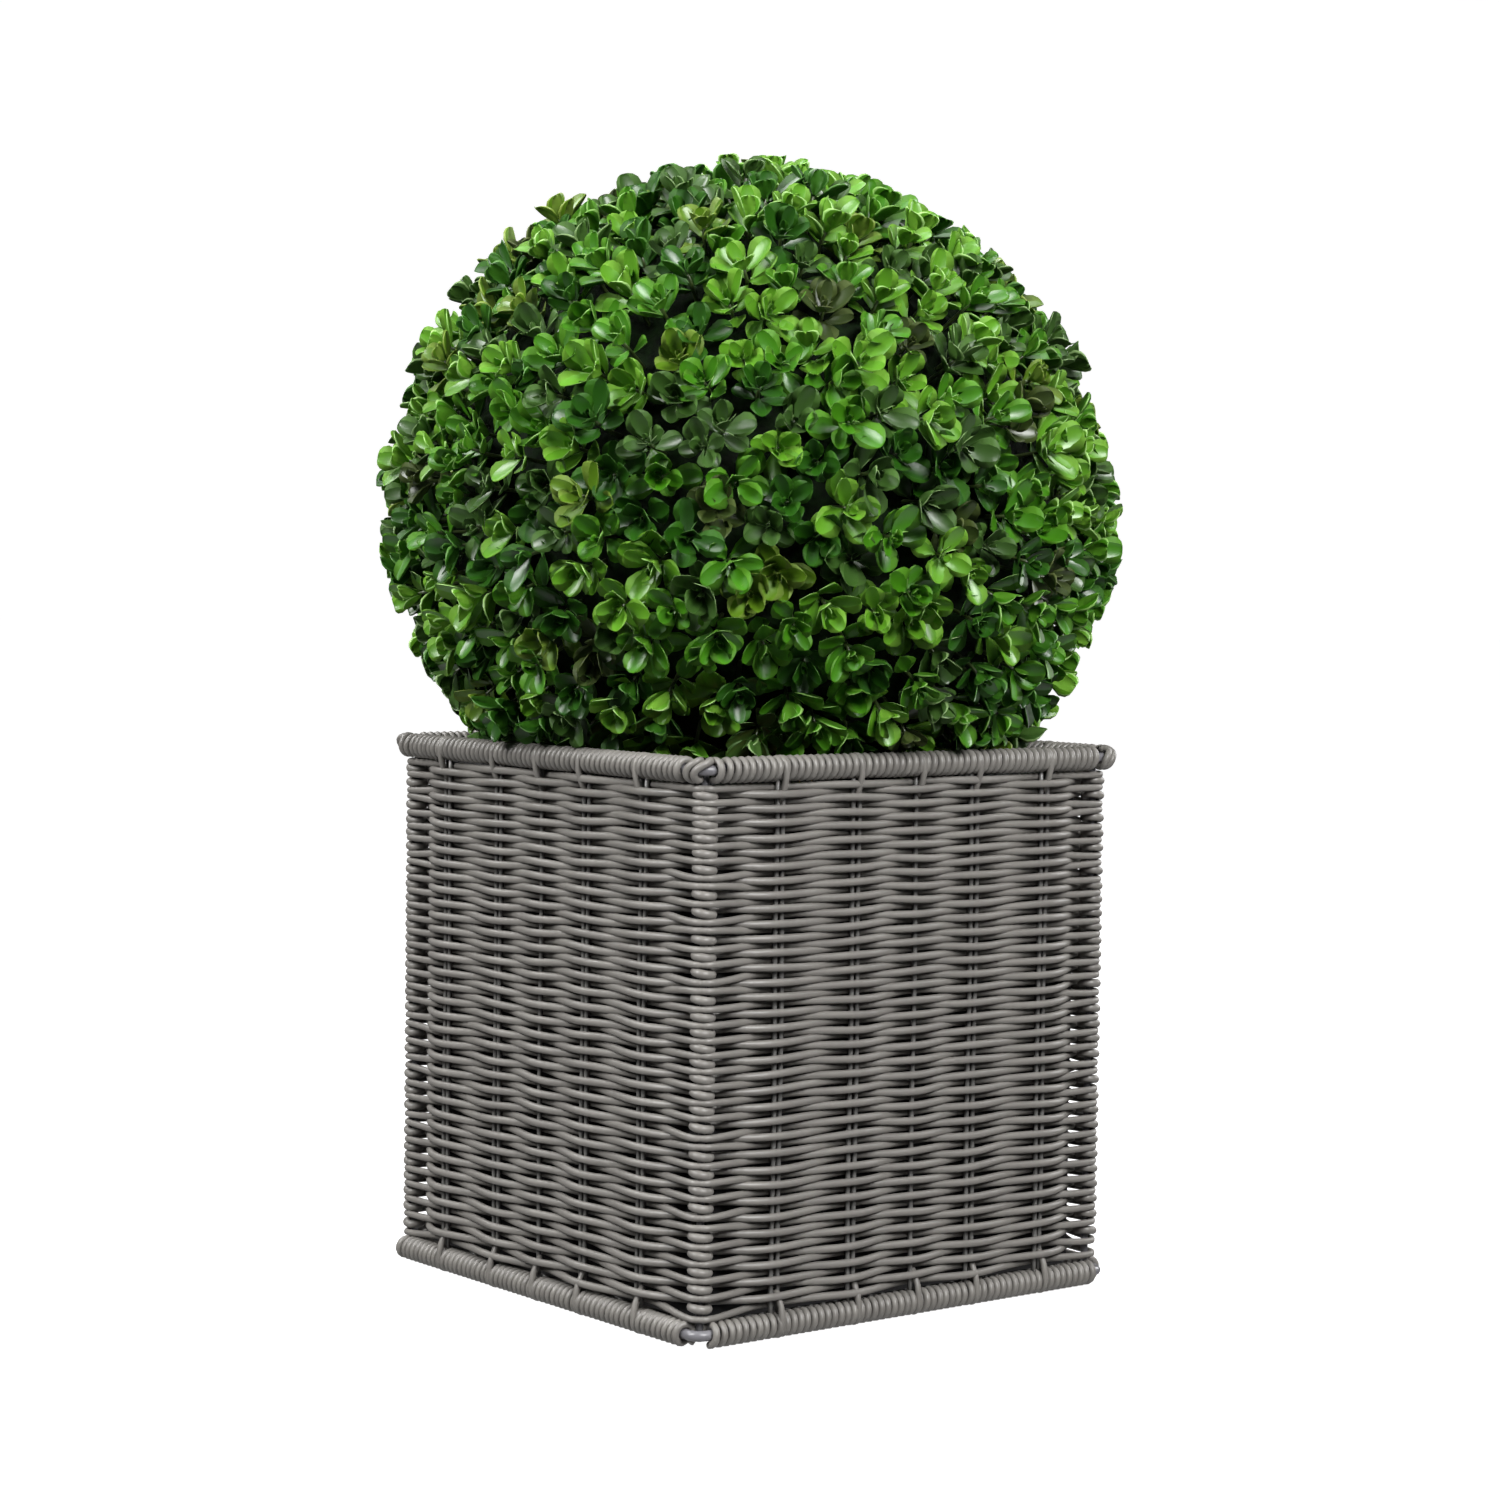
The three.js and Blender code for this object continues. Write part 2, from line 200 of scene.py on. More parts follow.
def ring_faces(rings: int, points: int, closed: bool = False) -> Array:
    """Numbers the four-cornered faces between rings of points, each ring joined to the next.

    Face (r, c) joins the points (r, c), (r + 1, c), (r + 1, c + 1) and (r, c + 1).

    Args:
        rings: How many rings there are.
        points: How many points a ring has.
        closed: Whether the last ring joins the first.

    Returns:
        The faces, four point numbers a row.
    """
    r = np.arange(rings if closed else rings - 1)[:, None]
    c = np.arange(points)[None]
    here, after, next_point = r * points, (r + 1) % rings * points, (c + 1) % points
    corners = [here + c, after + c, after + next_point, here + next_point]
    return np.stack(corners, -1).reshape(-1, 4)


def capped_faces(rings: int, points: int) -> list[Array]:
    """Numbers the faces of a stack of rings whose ends are closed by a point each.

    The two end points come after the points of the rings.

    Args:
        rings: How many rings there are.
        points: How many points a ring has.

    Returns:
        The four-cornered faces between the rings and the three-cornered ones at the ends.
    """
    j = np.arange(points)
    j2 = (j + 1) % points
    first, last = np.full(points, rings * points), (rings - 1) * points
    fans = [np.stack([first, j, j2], -1), np.stack([last + j, first + 1, last + j2], -1)]
    return [ring_faces(rings, points), np.concatenate(fans)]


def repeated(faces: Sequence[Array], copies: int, points: int) -> list[Array]:
    """Repeats tables of faces for many copies of a form, each with its own run of points."""
    shift = (np.arange(copies) * points)[:, None, None]
    return [(table + shift).reshape(-1, table.shape[1]) for table in faces]


def tubes(
    paths: Array, radius: Array | float, sides: int, up: Sequence[float], closed: bool = False
) -> Surface:
    """Carries a round section along many paths at once.

    A point of the tube is the path's point plus the radius times (cos a across + sin a lift).
    Across is the path's direction crossed with up, and lift is across crossed with the
    direction. An open tube ends in fans round the path's first and last points.

    Args:
        paths: Path points, as paths by points by three.
        radius: The radius, for all or by path and point.
        sides: How many sides the section has.
        up: A direction that no path runs along.
        closed: Whether each path's last point joins its first.

    Returns:
        The tubes' surface, with lengths along and round the tube for its pattern.
    """
    count, steps = paths.shape[:2]
    if closed:
        ahead = np.roll(paths, -1, axis=1) - np.roll(paths, 1, axis=1)
    else:
        ahead = np.gradient(paths, axis=1)
    ahead = unit(ahead)
    across = unit(np.cross(ahead, np.array(up, float)))
    lift = np.cross(across, ahead)
    angle = full_turn(sides)
    thick = np.broadcast_to(np.asarray(radius, float), (count, steps))[..., None, None]
    ring = across[:, :, None] * np.cos(angle)[:, None] + lift[:, :, None] * np.sin(angle)[:, None]
    points = (paths[:, :, None] + thick * ring).reshape(count, -1, 3)
    if closed:
        faces = [ring_faces(steps, sides, True)]
    else:
        faces = capped_faces(steps, sides)
        points = np.concatenate([points, paths[:, :1], paths[:, -1:]], axis=1)

    stride = np.linalg.norm(np.diff(paths, axis=1, append=paths[:, :1]), axis=-1)
    run = np.concatenate([np.zeros((count, 1)), np.cumsum(stride, axis=1)], axis=1)
    run = run + 1000 * chance(np.arange(count), 7)[:, None]
    segment, side = np.divmod(np.arange(len(faces[0])), sides)
    low, high = run[:, segment], run[:, segment + 1]
    side = np.broadcast_to(side, low.shape)
    wide = 2 * math.pi * float(np.mean(thick)) / sides
    along = np.stack([low, high, high, low], -1)
    around = np.stack([side, side, side + 1, side + 1], -1) * wide
    lengthways = [np.stack([along, around], -1).reshape(-1, 4, 2)]
    lengthways += [np.zeros((count * len(fans), 3, 2)) for fans in faces[1:]]
    faces, points = repeated(faces, count, points.shape[1]), points.reshape(-1, 3)
    return Surface(points, faces, [], lengthways)


def piece(
    name: str, surface: Surface, finishes: Sequence[Material],
    replaced: Sequence[str] = (),
) -> None:
    """Makes a smooth-shaded object from a surface and ties it to the model.

    Args:
        name: The object's name.
        surface: Its surface, in millimetres.
        finishes: Its materials, in the order of the surface's finish numbers.
        replaced: The solids that it stands for.
    """
    mesh = bpy.data.meshes.new(name)
    corners = np.concatenate([f.ravel() for f in surface.faces])
    sizes = np.concatenate([np.full(len(f), f.shape[1]) for f in surface.faces])
    mesh.vertices.add(len(surface.points))
    mesh.vertices.foreach_set("co", (surface.points * METRE).astype(np.float32).ravel())
    mesh.loops.add(len(corners))
    mesh.loops.foreach_set("vertex_index", corners.astype(np.int32))
    mesh.polygons.add(len(sizes))
    mesh.polygons.foreach_set("loop_start", (np.cumsum(sizes) - sizes).astype(np.int32))
    numbers = np.concatenate(surface.finishes).astype(np.int32)
    mesh.polygons.foreach_set("material_index", numbers)
    mesh.polygons.foreach_set("use_smooth", np.ones(len(sizes), bool))
    if surface.lengthways:
        pattern = mesh.uv_layers.new(name="lengthways")
        places = np.concatenate([u.reshape(-1, 2) for u in surface.lengthways]) * METRE
        pattern.data.foreach_set("uv", places.astype(np.float32).ravel())
    mesh.update(calc_edges=True)
    for finish in finishes:
        mesh.materials.append(finish)
    made = bpy.data.objects.new(name, mesh)
    bpy.context.scene.collection.objects.link(made)
    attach(made, "root")
    if replaced:
        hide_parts(*replaced)
    LOG.info("%s: %d triangles", name, surface.triangles())


# ---- Finishes ----


def linear(shade: Sequence[float]) -> Colour:
    """Turns a colour as a screen shows it, from 0 to 255, into the light it stands for."""
    s = np.asarray(shade, float) / 255
    return tuple(np.where(s <= 0.04045, s / 12.92, ((s + 0.055) / 1.055) ** 2.4).tolist())


class NodeWriter:
    """Writes the shader nodes of one material."""

    def __init__(self, name: str, roughness: float, specular: float) -> None:
        """Starts a material with one main shader.

        Args:
            name: The material's name.
            roughness: How rough it is where no pattern changes that.
            specular: How much it shines at a right angle.
        """
        self.material = bpy.data.materials.new(name)
        self.material.use_nodes = True
        self.nodes = self.material.node_tree.nodes
        self.links = self.material.node_tree.links
        self.nodes.clear()
        self.shader = self.nodes.new("ShaderNodeBsdfPrincipled")
        self.shader.inputs["Roughness"].default_value = roughness
        self.shader.inputs["Specular IOR Level"].default_value = specular
        output = self.nodes.new("ShaderNodeOutputMaterial")
        self.links.new(self.shader.outputs["BSDF"], output.inputs["Surface"])

    def place(self, scale: Sequence[float] = (1, 1, 1), lengthways: bool = False) -> Socket:
        """Gives the pattern's coordinates, from the object or from the piece's own lengths.

        Args:
            scale: How much the pattern is squeezed along each axis.
            lengthways: Whether to follow the piece instead of the object's axes.

        Returns:
            The socket that carries the coordinates.
        """
        mapping = self.nodes.new("ShaderNodeMapping")
        mapping.inputs["Scale"].default_value = scale
        if lengthways:
            source = self.nodes.new("ShaderNodeUVMap")
            source.uv_map = "lengthways"
            self.links.new(source.outputs["UV"], mapping.inputs["Vector"])
        else:
            source = self.nodes.new("ShaderNodeTexCoord")
            self.links.new(source.outputs["Object"], mapping.inputs["Vector"])
        return mapping.outputs["Vector"]

    def noise(self, place: Socket, scale: float, detail: float) -> Socket:
        """Adds a noise pattern.

        Args:
            place: The coordinates that it reads.
            scale: How fine it is, in waves a metre.
            detail: How many finer waves are laid over it.

        Returns:
            The socket with its strength, from 0 to 1.
        """
        noise = self.nodes.new("ShaderNodeTexNoise")
        noise.inputs["Scale"].default_value = scale
        noise.inputs["Detail"].default_value = detail
        self.links.new(place, noise.inputs["Vector"])
        return noise.outputs["Fac"]

    def ramp(self, strength: Socket, stops: Stops) -> None:
        """Lets a pattern's strength set the colour.

        Args:
            strength: The pattern.
            stops: Places from 0 to 1 on the scale, each with its colour from 0 to 255.
        """
        ramp = self.nodes.new("ShaderNodeValToRGB")
        scale = ramp.color_ramp.elements
        while len(scale) < len(stops):
            scale.new(0.5)
        for stop, (where, colour) in zip(scale, stops):
            stop.position = where
            stop.color = (*linear(colour), 1.0)
        self.links.new(strength, ramp.inputs["Fac"])
        self.links.new(ramp.outputs["Color"], self.shader.inputs["Base Color"])

    def spread(self, strength: Socket, low: float, high: float) -> None:
        """Lets a pattern's strength set the roughness.

        Args:
            strength: The pattern.
            low: The roughness where the pattern is weakest.
            high: The roughness where it is strongest.
        """
        spread = self.nodes.new("ShaderNodeMapRange")
        spread.inputs["To Min"].default_value = low
        spread.inputs["To Max"].default_value = high
        self.links.new(strength, spread.inputs["Value"])
        self.links.new(spread.outputs["Result"], self.shader.inputs["Roughness"])

    def bump(self, strength: Socket, height: float) -> None:
        """Raises the surface by a pattern.

        Args:
            strength: The pattern.
            height: How far it raises the surface at most, in millimetres.
        """
        bump = self.nodes.new("ShaderNodeBump")
        bump.inputs["Distance"].default_value = height * METRE
        self.links.new(strength, bump.inputs["Height"])
        self.links.new(bump.outputs["Normal"], self.shader.inputs["Normal"])


@dataclass(frozen=True)
class CaneFinish:
    """Round plastic cane: satin grey, in lengths of slightly different shade, finely drawn."""

    name: str = "grey_cane"
    stops: Stops = ((0.3, (110, 107, 103)), (0.7, (125, 122, 117)))

    def material(self) -> Material:
        """Makes the material.

        Returns:
            The finished material.
        """
        writer = NodeWriter(self.name, 0.4, 0.5)
        writer.ramp(writer.noise(writer.place(lengthways=True), 28, 2), self.stops)
        streaks = writer.noise(writer.place((60, 900, 1), lengthways=True), 1.0, 3)
        writer.spread(streaks, 0.33, 0.47)
        writer.bump(streaks, 0.12)
        return writer.material


@dataclass(frozen=True)
class RodFinish:
    """Coated steel rod: grey with a slightly cold cast, smooth, with faint runs in the coat."""

    name: str = "coated_rod"
    stops: Stops = ((0.3, (100, 99, 103)), (0.7, (118, 117, 121)))

    def material(self) -> Material:
        """Makes the material.

        Returns:
            The finished material.
        """
        writer = NodeWriter(self.name, 0.3, 0.6)
        place = writer.place()
        tone = writer.noise(place, 60, 3)
        writer.ramp(tone, self.stops)
        writer.spread(tone, 0.22, 0.4)
        writer.bump(writer.noise(place, 700, 2), 0.06)
        return writer.material


@dataclass(frozen=True)
class MottledFinish:
    """A dull plastic or fibre, coloured and raised by one pattern of noise.

    Attributes:
        name: The material's name.
        roughness: How rough it is.
        shine: How much it shines at a right angle.
        upright: How much the pattern is squeezed along Z.
        waves: How fine the pattern is, in waves a metre.
        detail: How many finer waves are laid over it.
        stops: Places from 0 to 1 on the pattern's scale, each with its colour from 0 to 255.
        height: How far the pattern raises the surface, in millimetres.
    """

    name: str
    roughness: float
    shine: float
    upright: float
    waves: float
    detail: float
    stops: Stops
    height: float

    def material(self) -> Material:
        """Makes the material.

        Returns:
            The finished material.
        """
        writer = NodeWriter(self.name, self.roughness, self.shine)
        pattern = writer.noise(writer.place((1, 1, self.upright)), self.waves, self.detail)
        writer.ramp(pattern, self.stops)
        writer.bump(pattern, self.height)
        return writer.material


LINER = MottledFinish("black_liner", 0.5, 0.4, 0.35, 70, 5,
                      ((0.3, (13, 13, 13)), (0.8, (31, 31, 33))), 1.2)
COIR = MottledFinish("coir", 0.9, 0.2, 1, 900, 6,
                     ((0.32, (54, 36, 18)), (0.5, (118, 88, 50)), (0.68, (178, 146, 96))), 0.8)
BARK = MottledFinish("moulded_bark", 0.7, 0.3, 0.15, 420, 5,
                     ((0.35, (44, 32, 22)), (0.65, (96, 74, 52))), 0.9)
# The ball's inside, near-black green: painted shade for the deep shadow between the sprays.
PAINTED_SHADE_CORE = MottledFinish("ball_inside_painted_shade", 0.8, 0.2, 1, 160, 4,
                     ((0.35, (3, 10, 1)), (0.7, (12, 36, 3))), 2.0)


@dataclass(frozen=True)
class LeafFinish:
    """One moulded leaf plastic, with its own plain shades for blade, edge and underside; the
    lighter edge shade is a painted highlight.
    """

    name: str
    blade: Colour
    edge: Colour
    under: Colour

    def materials(self) -> list[Material]:
        """Makes the three materials.

        Returns:
            The materials, in the order of a leaf's finish numbers.
        """
        made = []
        for part, shade, rough, shine in (
            ("blade", self.blade, 0.38, 0.75),
            # The lighter edge shade is a painted highlight, where a rounded leaf edge would catch
            # the light.
            ("edge", self.edge, 0.45, 0.6),
            ("under", self.under, 0.55, 0.25),
        ):
            writer = NodeWriter(f"{self.name}_{part}", rough, shine)
            writer.shader.inputs["Base Color"].default_value = (*linear(shade), 1.0)
            made.append(writer.material)
        return made


class Tint(Enum):
    """The shades of the sprays, each with the share of the sprays that have it. Each second
    colour, for the leaf edges, is a painted highlight.
    """

    FRESH = (0.27, LeafFinish("leaf_fresh", (88, 144, 30), (154, 196, 112), (100, 148, 44)))
    MIDDLE = (0.27, LeafFinish("leaf_middle", (58, 118, 10), (126, 172, 84), (74, 126, 28)))
    DEEP = (0.19, LeafFinish("leaf_deep", (30, 78, 4), (80, 130, 52), (42, 88, 14)))
    GREY = (0.16, LeafFinish("leaf_grey", (50, 82, 28), (118, 148, 90), (62, 94, 38)))
    OLIVE = (0.06, LeafFinish("leaf_olive", (82, 118, 18), (130, 154, 64), (98, 124, 44)))
    BROWN = (0.05, LeafFinish("leaf_brown", (50, 66, 24), (94, 106, 58), (64, 78, 34)))


# ---- The planter ----


@dataclass(frozen=True)
class PlanterSizes:
    """The sizes that the planter's pieces share."""

    half: float = 120.0
    rim_height: float = 249.1
    foot_height: float = 6.1
    rod: float = 4.6
    cane: float = 3.8
    bend: float = 6.0
    post_place: float = 114.354

    @property
    def wrap_radius(self) -> float:
        """From the middle of a rod to the middle of the cane bound round it."""
        return (self.rod + self.cane) / 2


SIZES = PlanterSizes()


@dataclass
class RodRing:
    """A steel rod bent into a square ring with round corners."""

    name: str
    height: float
    sizes: PlanterSizes = SIZES
    sides: int = 16
    bend_steps: int = 8

    def path(self) -> Array:
        """Gives the ring's centre line: four quarter circles joined by straight runs.

        Returns:
            The points of the line, one a row.
        """
        s = self.sizes
        angle = np.linspace(0, math.pi / 2, self.bend_steps + 1)
        inner = s.half - s.bend
        arc = xyz(inner + s.bend * np.cos(angle), inner + s.bend * np.sin(angle), self.height)
        return np.concatenate([quarter_turns(arc, q) for q in range(4)])

    def build(self, rod: Material) -> None:
        """Makes the ring.

        Args:
            rod: The rod's material.
        """
        s = self.sizes
        surface = tubes(self.path()[None], s.rod / 2, self.sides, (0, 0, 1), closed=True)
        piece(f"{self.name}_rod_bent", surface, [rod], [f"{self.name}_rod"])


@dataclass
class RodBinding:
    """Cane wound round the four sides of a rod ring, and lashed over its bends."""

    name: str
    height: float
    thick: float = 3.3
    sizes: PlanterSizes = SIZES
    half: float = 111.4
    steps: int = 14
    sides: int = 10
    slack: float = 0.05
    gaps: tuple[Span, ...] = ((0.0, 0.9), (0.31, 0.4), (0.64, 0.5))
    bend_wraps: tuple[Span, ...] = ((-96.0, -62.0), (-70.0, -17.0), (4.0, 5.0))
    lash_reach: float = 118.0
    gap_shares: Span = (0.3, 0.8)
    lean: float = 0.5

    def winding(self, quarter: int) -> Array:
        """Gives the middle line of the cane along the front side.

        The cane turns about the rod. It moves on by its own thickness each turn, and by more
        where a gap is left, which it crosses on the hidden side of the rod.

        Args:
            quarter: Which side it will be, so that each side has its own slight unevenness.

        Returns:
            The points of the middle line.
        """
        s = self.sizes
        run = 2 * self.half - s.cane
        gaps = [(at, wide * float(within(self.gap_shares, quarter, wide) if quarter else 1))
                for at, wide in self.gaps]
        turns = int((run - sum(wide for _, wide in gaps)) / s.cane)
        pitch = s.cane * (1 + self.slack * (chance(np.arange(turns), 60 + quarter) - 0.5))
        extra = np.zeros(turns)
        for at, wide in gaps:
            extra[int(at * (turns - 1))] += wide
        pitch *= (run - extra.sum()) / pitch.sum()
        start = np.concatenate([[0], np.cumsum(pitch + extra)[:-1]]) - run / 2
        share = np.arange(self.steps) / self.steps
        hidden = eased((share - 0.5) / 0.5)
        x = start[:, None] + pitch[:, None] * share + extra[:, None] * hidden
        angle = np.broadcast_to(2 * math.pi * share, x.shape)
        lean = self.lean * (chance(np.arange(turns), 64 + quarter) - 0.5)
        x = x + lean[:, None] * np.sin(angle)
        y = -s.half - s.wrap_radius * np.sin(angle)
        z = self.height - s.wrap_radius * np.cos(angle)
        return xyz(x, y, z).reshape(-1, 3)

    def lashing(self) -> Array:
        """Gives the strands over the front right bend, as arcs round the outside of the rod.

        Each goes from the angle on the bend of its foot to that of its top, by the cube of
        its share of the rod's height, so that it leans over towards the next side.

        Returns:
            The points, as strands by points by three.
        """
        s = self.sizes
        angle = np.radians(np.linspace(-self.lash_reach, self.lash_reach, self.steps + 1))[None]
        foot, top = np.radians(np.array(self.bend_wraps)).T[..., None]
        fan = foot + (top - foot) * ((1 + np.sin(angle)) / 2) ** 3
        inner = s.half - s.bend
        reach = s.bend + s.wrap_radius * np.cos(angle)
        x = inner + reach * np.cos(fan)
        y = -inner + reach * np.sin(fan)
        return xyz(x, y, self.height + s.wrap_radius * np.sin(angle))

    def build(self, cane: Material) -> None:
        """Makes the binding of each side, with the lashing at its right end.

        Args:
            cane: The cane's material.
        """
        strands = []
        if self.bend_wraps:
            strands.append(tubes(self.lashing(), self.thick / 2, self.sides, (1, 1, 0.02)))
        for quarter, side in enumerate(SIDES):
            winding = tubes(self.winding(quarter)[None], self.thick / 2, self.sides, (1, 0, 0))
            surface = Surface.joined([winding, *strands]).turned(quarter)
            node = f"{self.name}_binding_{side}"
            piece(f"{node}_cane", surface, [cane], [node])


@dataclass
class WovenWalls:
    """The cane woven in and out of upright stakes, in rings that run round all four walls."""

    sizes: PlanterSizes = SIZES
    stakes: tuple[float, ...] = (-78.0, -35.0, 0.0, 35.0, 78.0)
    stake_rod: float = 2.2
    stake_gap: float = 3.4
    cane: float = 3.5
    corner_reach: float = 3.0
    corner_squeeze: float = 0.12
    outer_bend: tuple[Span, ...] = ((-112.754, -118.9), (-95.5, -118.2))
    inner_bend: tuple[Span, ...] = ((-101.5, -114.2), (-90.5, -120.4))
    lines: int = 69
    steps: int = 4
    sides: int = 8
    spread: float = 0.09
    uneven: float = 0.5
    low: float = 15.2
    high: float = 241.1
    pinch: float = 1.5
    pinch_reach: float = 30.0
    tie: float = 3.0
    tie_radius: float = 4.5
    tie_end: tuple[Span, ...] = (
        (4.3, -4.0), (3.3, -8.0), (1.2, -12.0), (-0.6, -15.0))
    tie_arc: Span = (125.0, 8.0)
    tie_shift: Place = (0.7, 0.9, 1.2)
    missing_loops: tuple[int, ...] = (5, 10, 20, 24, 27)
    foot_drop: Span = (2.6, 0.8)
    sways: tuple[Place, ...] = ((0.35, 9, 21), (0.2, 17, -13))
    sway_fade: float = 8.0
    own_sway: Span = (0.18, 13)
    stake_bow: Span = (0.3, 23)

    @property
    def reach(self) -> float:
        """How far the middle of a cane stands out where it passes a stake."""
        return (self.stake_rod + self.cane) / 2 + 0.1

    def heights(self) -> Array:
        """Gives each line's height: the rows lie a little closer towards the rim.

        Returns:
            The heights, from the lowest line up.
        """
        share = np.arange(self.lines) / (self.lines - 1)
        rise = (1 + self.spread) * share - self.spread * share**2
        wander = self.uneven * (chance(np.arange(self.lines), 40) - 0.5)
        wander[[0, -1]] = 0
        return self.low + (self.high - self.low) * rise + wander

    def gaps_at(self, corner: int) -> Array:
        """Lists the gaps between rows that hold no loop at a corner, counted from the foot."""
        rows = self.lines // 2
        return (np.array(self.missing_loops) + 7 * corner) % rows

    def corner_heights(self, corner: int) -> Array:
        """Gives the heights of the rows outside the posts, where they pass a post.

        Two rows with no loop between them draw together there, and the lowest two sag.

        Args:
            corner: Which post they pass.

        Returns:
            The heights, from the lowest row up.
        """
        rows = self.heights()[::2].copy()
        gaps = self.gaps_at(corner)
        np.add.at(rows, gaps, self.pinch)
        np.add.at(rows, gaps + 1, -self.pinch)
        rows[:2] -= self.foot_drop
        return rows

    def plan(self, outside_posts: bool) -> Array:
        """Gives one ring as seen from above.

        It is a smooth closed curve through points that stand out from the wall's plane at the
        stakes by turns, and that pass each post on its outer or on its inner side.

        Args:
            outside_posts: Whether the ring passes outside the posts.

        Returns:
            The points of the ring, x and y.
        """
        turn = self.sizes.post_place + self.corner_reach / math.sqrt(2)
        swing, bend = self.reach, self.outer_bend
        if not outside_posts:
            turn = self.sizes.post_place - (self.corner_reach + self.cane) / math.sqrt(2)
            swing, bend = -self.reach, self.inner_bend
        stakes = np.arange(2 * len(self.stakes) - 1) / 2
        x = np.interp(stakes, np.arange(len(self.stakes)), self.stakes)
        y = -self.sizes.half + swing * np.cos(math.pi * stakes)
        front = [[(-turn, -turn)], bend, np.stack([x, y], -1), np.array(bend[::-1]) * (-1, 1)]
        flat = np.concatenate(front)
        ring = np.concatenate([quarter_turns(xyz(*flat.T, 0), q) for q in range(4)])
        return closed_spline(ring[:, :2], self.steps)

    def rings(self, outside_posts: bool) -> Surface:
        """Makes every other line of the weave, as rings of cane.

        Args:
            outside_posts: Whether these are the lines that pass outside the posts.

        Returns:
            Their surface.
        """
        plan = self.plan(outside_posts)
        number = np.arange(0 if outside_posts else 1, self.lines, 2)
        height = self.heights()[number][:, None]
        angle = np.arctan2(plan[:, 1], plan[:, 0])[None]
        sway = sum(far * np.sin(n * angle + height / tall) for far, n, tall in self.sways)
        sway *= np.clip(np.minimum(height - self.low, self.high - height) / self.sway_fade, 0, 1)
        far, n = self.own_sway
        z = height + sway + far * np.sin(n * angle + PHASES * chance(number, 41)[:, None])
        thick = self.cane / 2
        if outside_posts:
            away = np.linalg.norm(np.abs(plan) - self.sizes.post_place, axis=1)
            near = eased(1 - away / self.pinch_reach)[None]
            corner = np.array([[2, 3], [1, 0]])[(plan[:, 0] > 0) * 1, (plan[:, 1] < 0) * 1]
            passing = np.stack([self.corner_heights(c) for c in range(4)])[corner].T
            z = z + near * (passing - z)
            thick = thick * (1 - self.corner_squeeze * np.broadcast_to(near, z.shape))
        flat = np.broadcast_to(plan, (len(number), *plan.shape))
        return tubes(np.concatenate([flat, z[..., None]], -1), thick, self.sides,
                     (0, 0, 1), closed=True)

    def stakes_of(self, quarter: int) -> Surface:
        """Makes the upright stakes of one wall: a pair of thin rods, or one in the middle.

        Args:
            quarter: Which wall it is.

        Returns:
            Their surface.
        """
        s = self.sizes
        low = s.foot_height + s.rod / 2
        high = s.rim_height - s.rod / 2
        offsets = [place + side * self.stake_gap / 2
                   for place in self.stakes for side in ((-1, 1) if place else (0,))]
        x = np.array(offsets)[:, None]
        z = np.linspace(low, high, 24)[None]
        far, tall = self.stake_bow
        bow = far * np.sin(z / tall + PHASES * chance(x, quarter))
        paths = xyz(x + bow, -s.half, z)
        return tubes(paths, self.stake_rod / 2, 8, (1, 0, 0)).turned(quarter)

    def ties_of(self, quarter: int) -> Surface:
        """Makes the strands that tie one wall's stakes to the rims.

        Each goes over the rim beside its stake, straight on past the rim and in behind the
        nearest row.

        Args:
            quarter: Which wall it is.

        Returns:
            Their surface.
        """
        s = self.sizes
        x = np.array(self.stakes)[:, None]
        over = np.radians(np.linspace(*self.tie_arc, 9))
        over = self.tie_radius * np.stack([np.cos(over), np.sin(over)], -1)
        out, up = np.concatenate([over, self.tie_end]).T
        aside, lean, stray = self.tie_shift
        lots = []
        for height, way in ((s.rim_height, 1), (s.foot_height, -1)):
            shift = aside - lean * way + stray * (chance(x, 90 + way + 5 * quarter) - 0.5)
            lots.append(xyz(x + shift, -s.half - out, height + way * up))
        ties = np.concatenate(lots)
        return tubes(ties, self.tie / 2, self.sides, (1, 0, 0)).turned(quarter)

    def build(self, cane: Material, stake: Material) -> None:
        """Makes the rings of cane, and the stakes and ties of each wall.

        Args:
            cane: The material of the rings and the ties.
            stake: The material of the stakes.
        """
        walls = [f"wall_{side}" for side in SIDES]
        piece("weave_outside_posts", self.rings(True), [cane], walls)
        piece("weave_inside_posts", self.rings(False), [cane], walls)
        for quarter, side in enumerate(SIDES):
            piece(f"stakes_{side}", self.stakes_of(quarter), [stake], [f"wall_{side}"])
            piece(f"stake_ties_{side}", self.ties_of(quarter), [cane], [f"wall_{side}"])


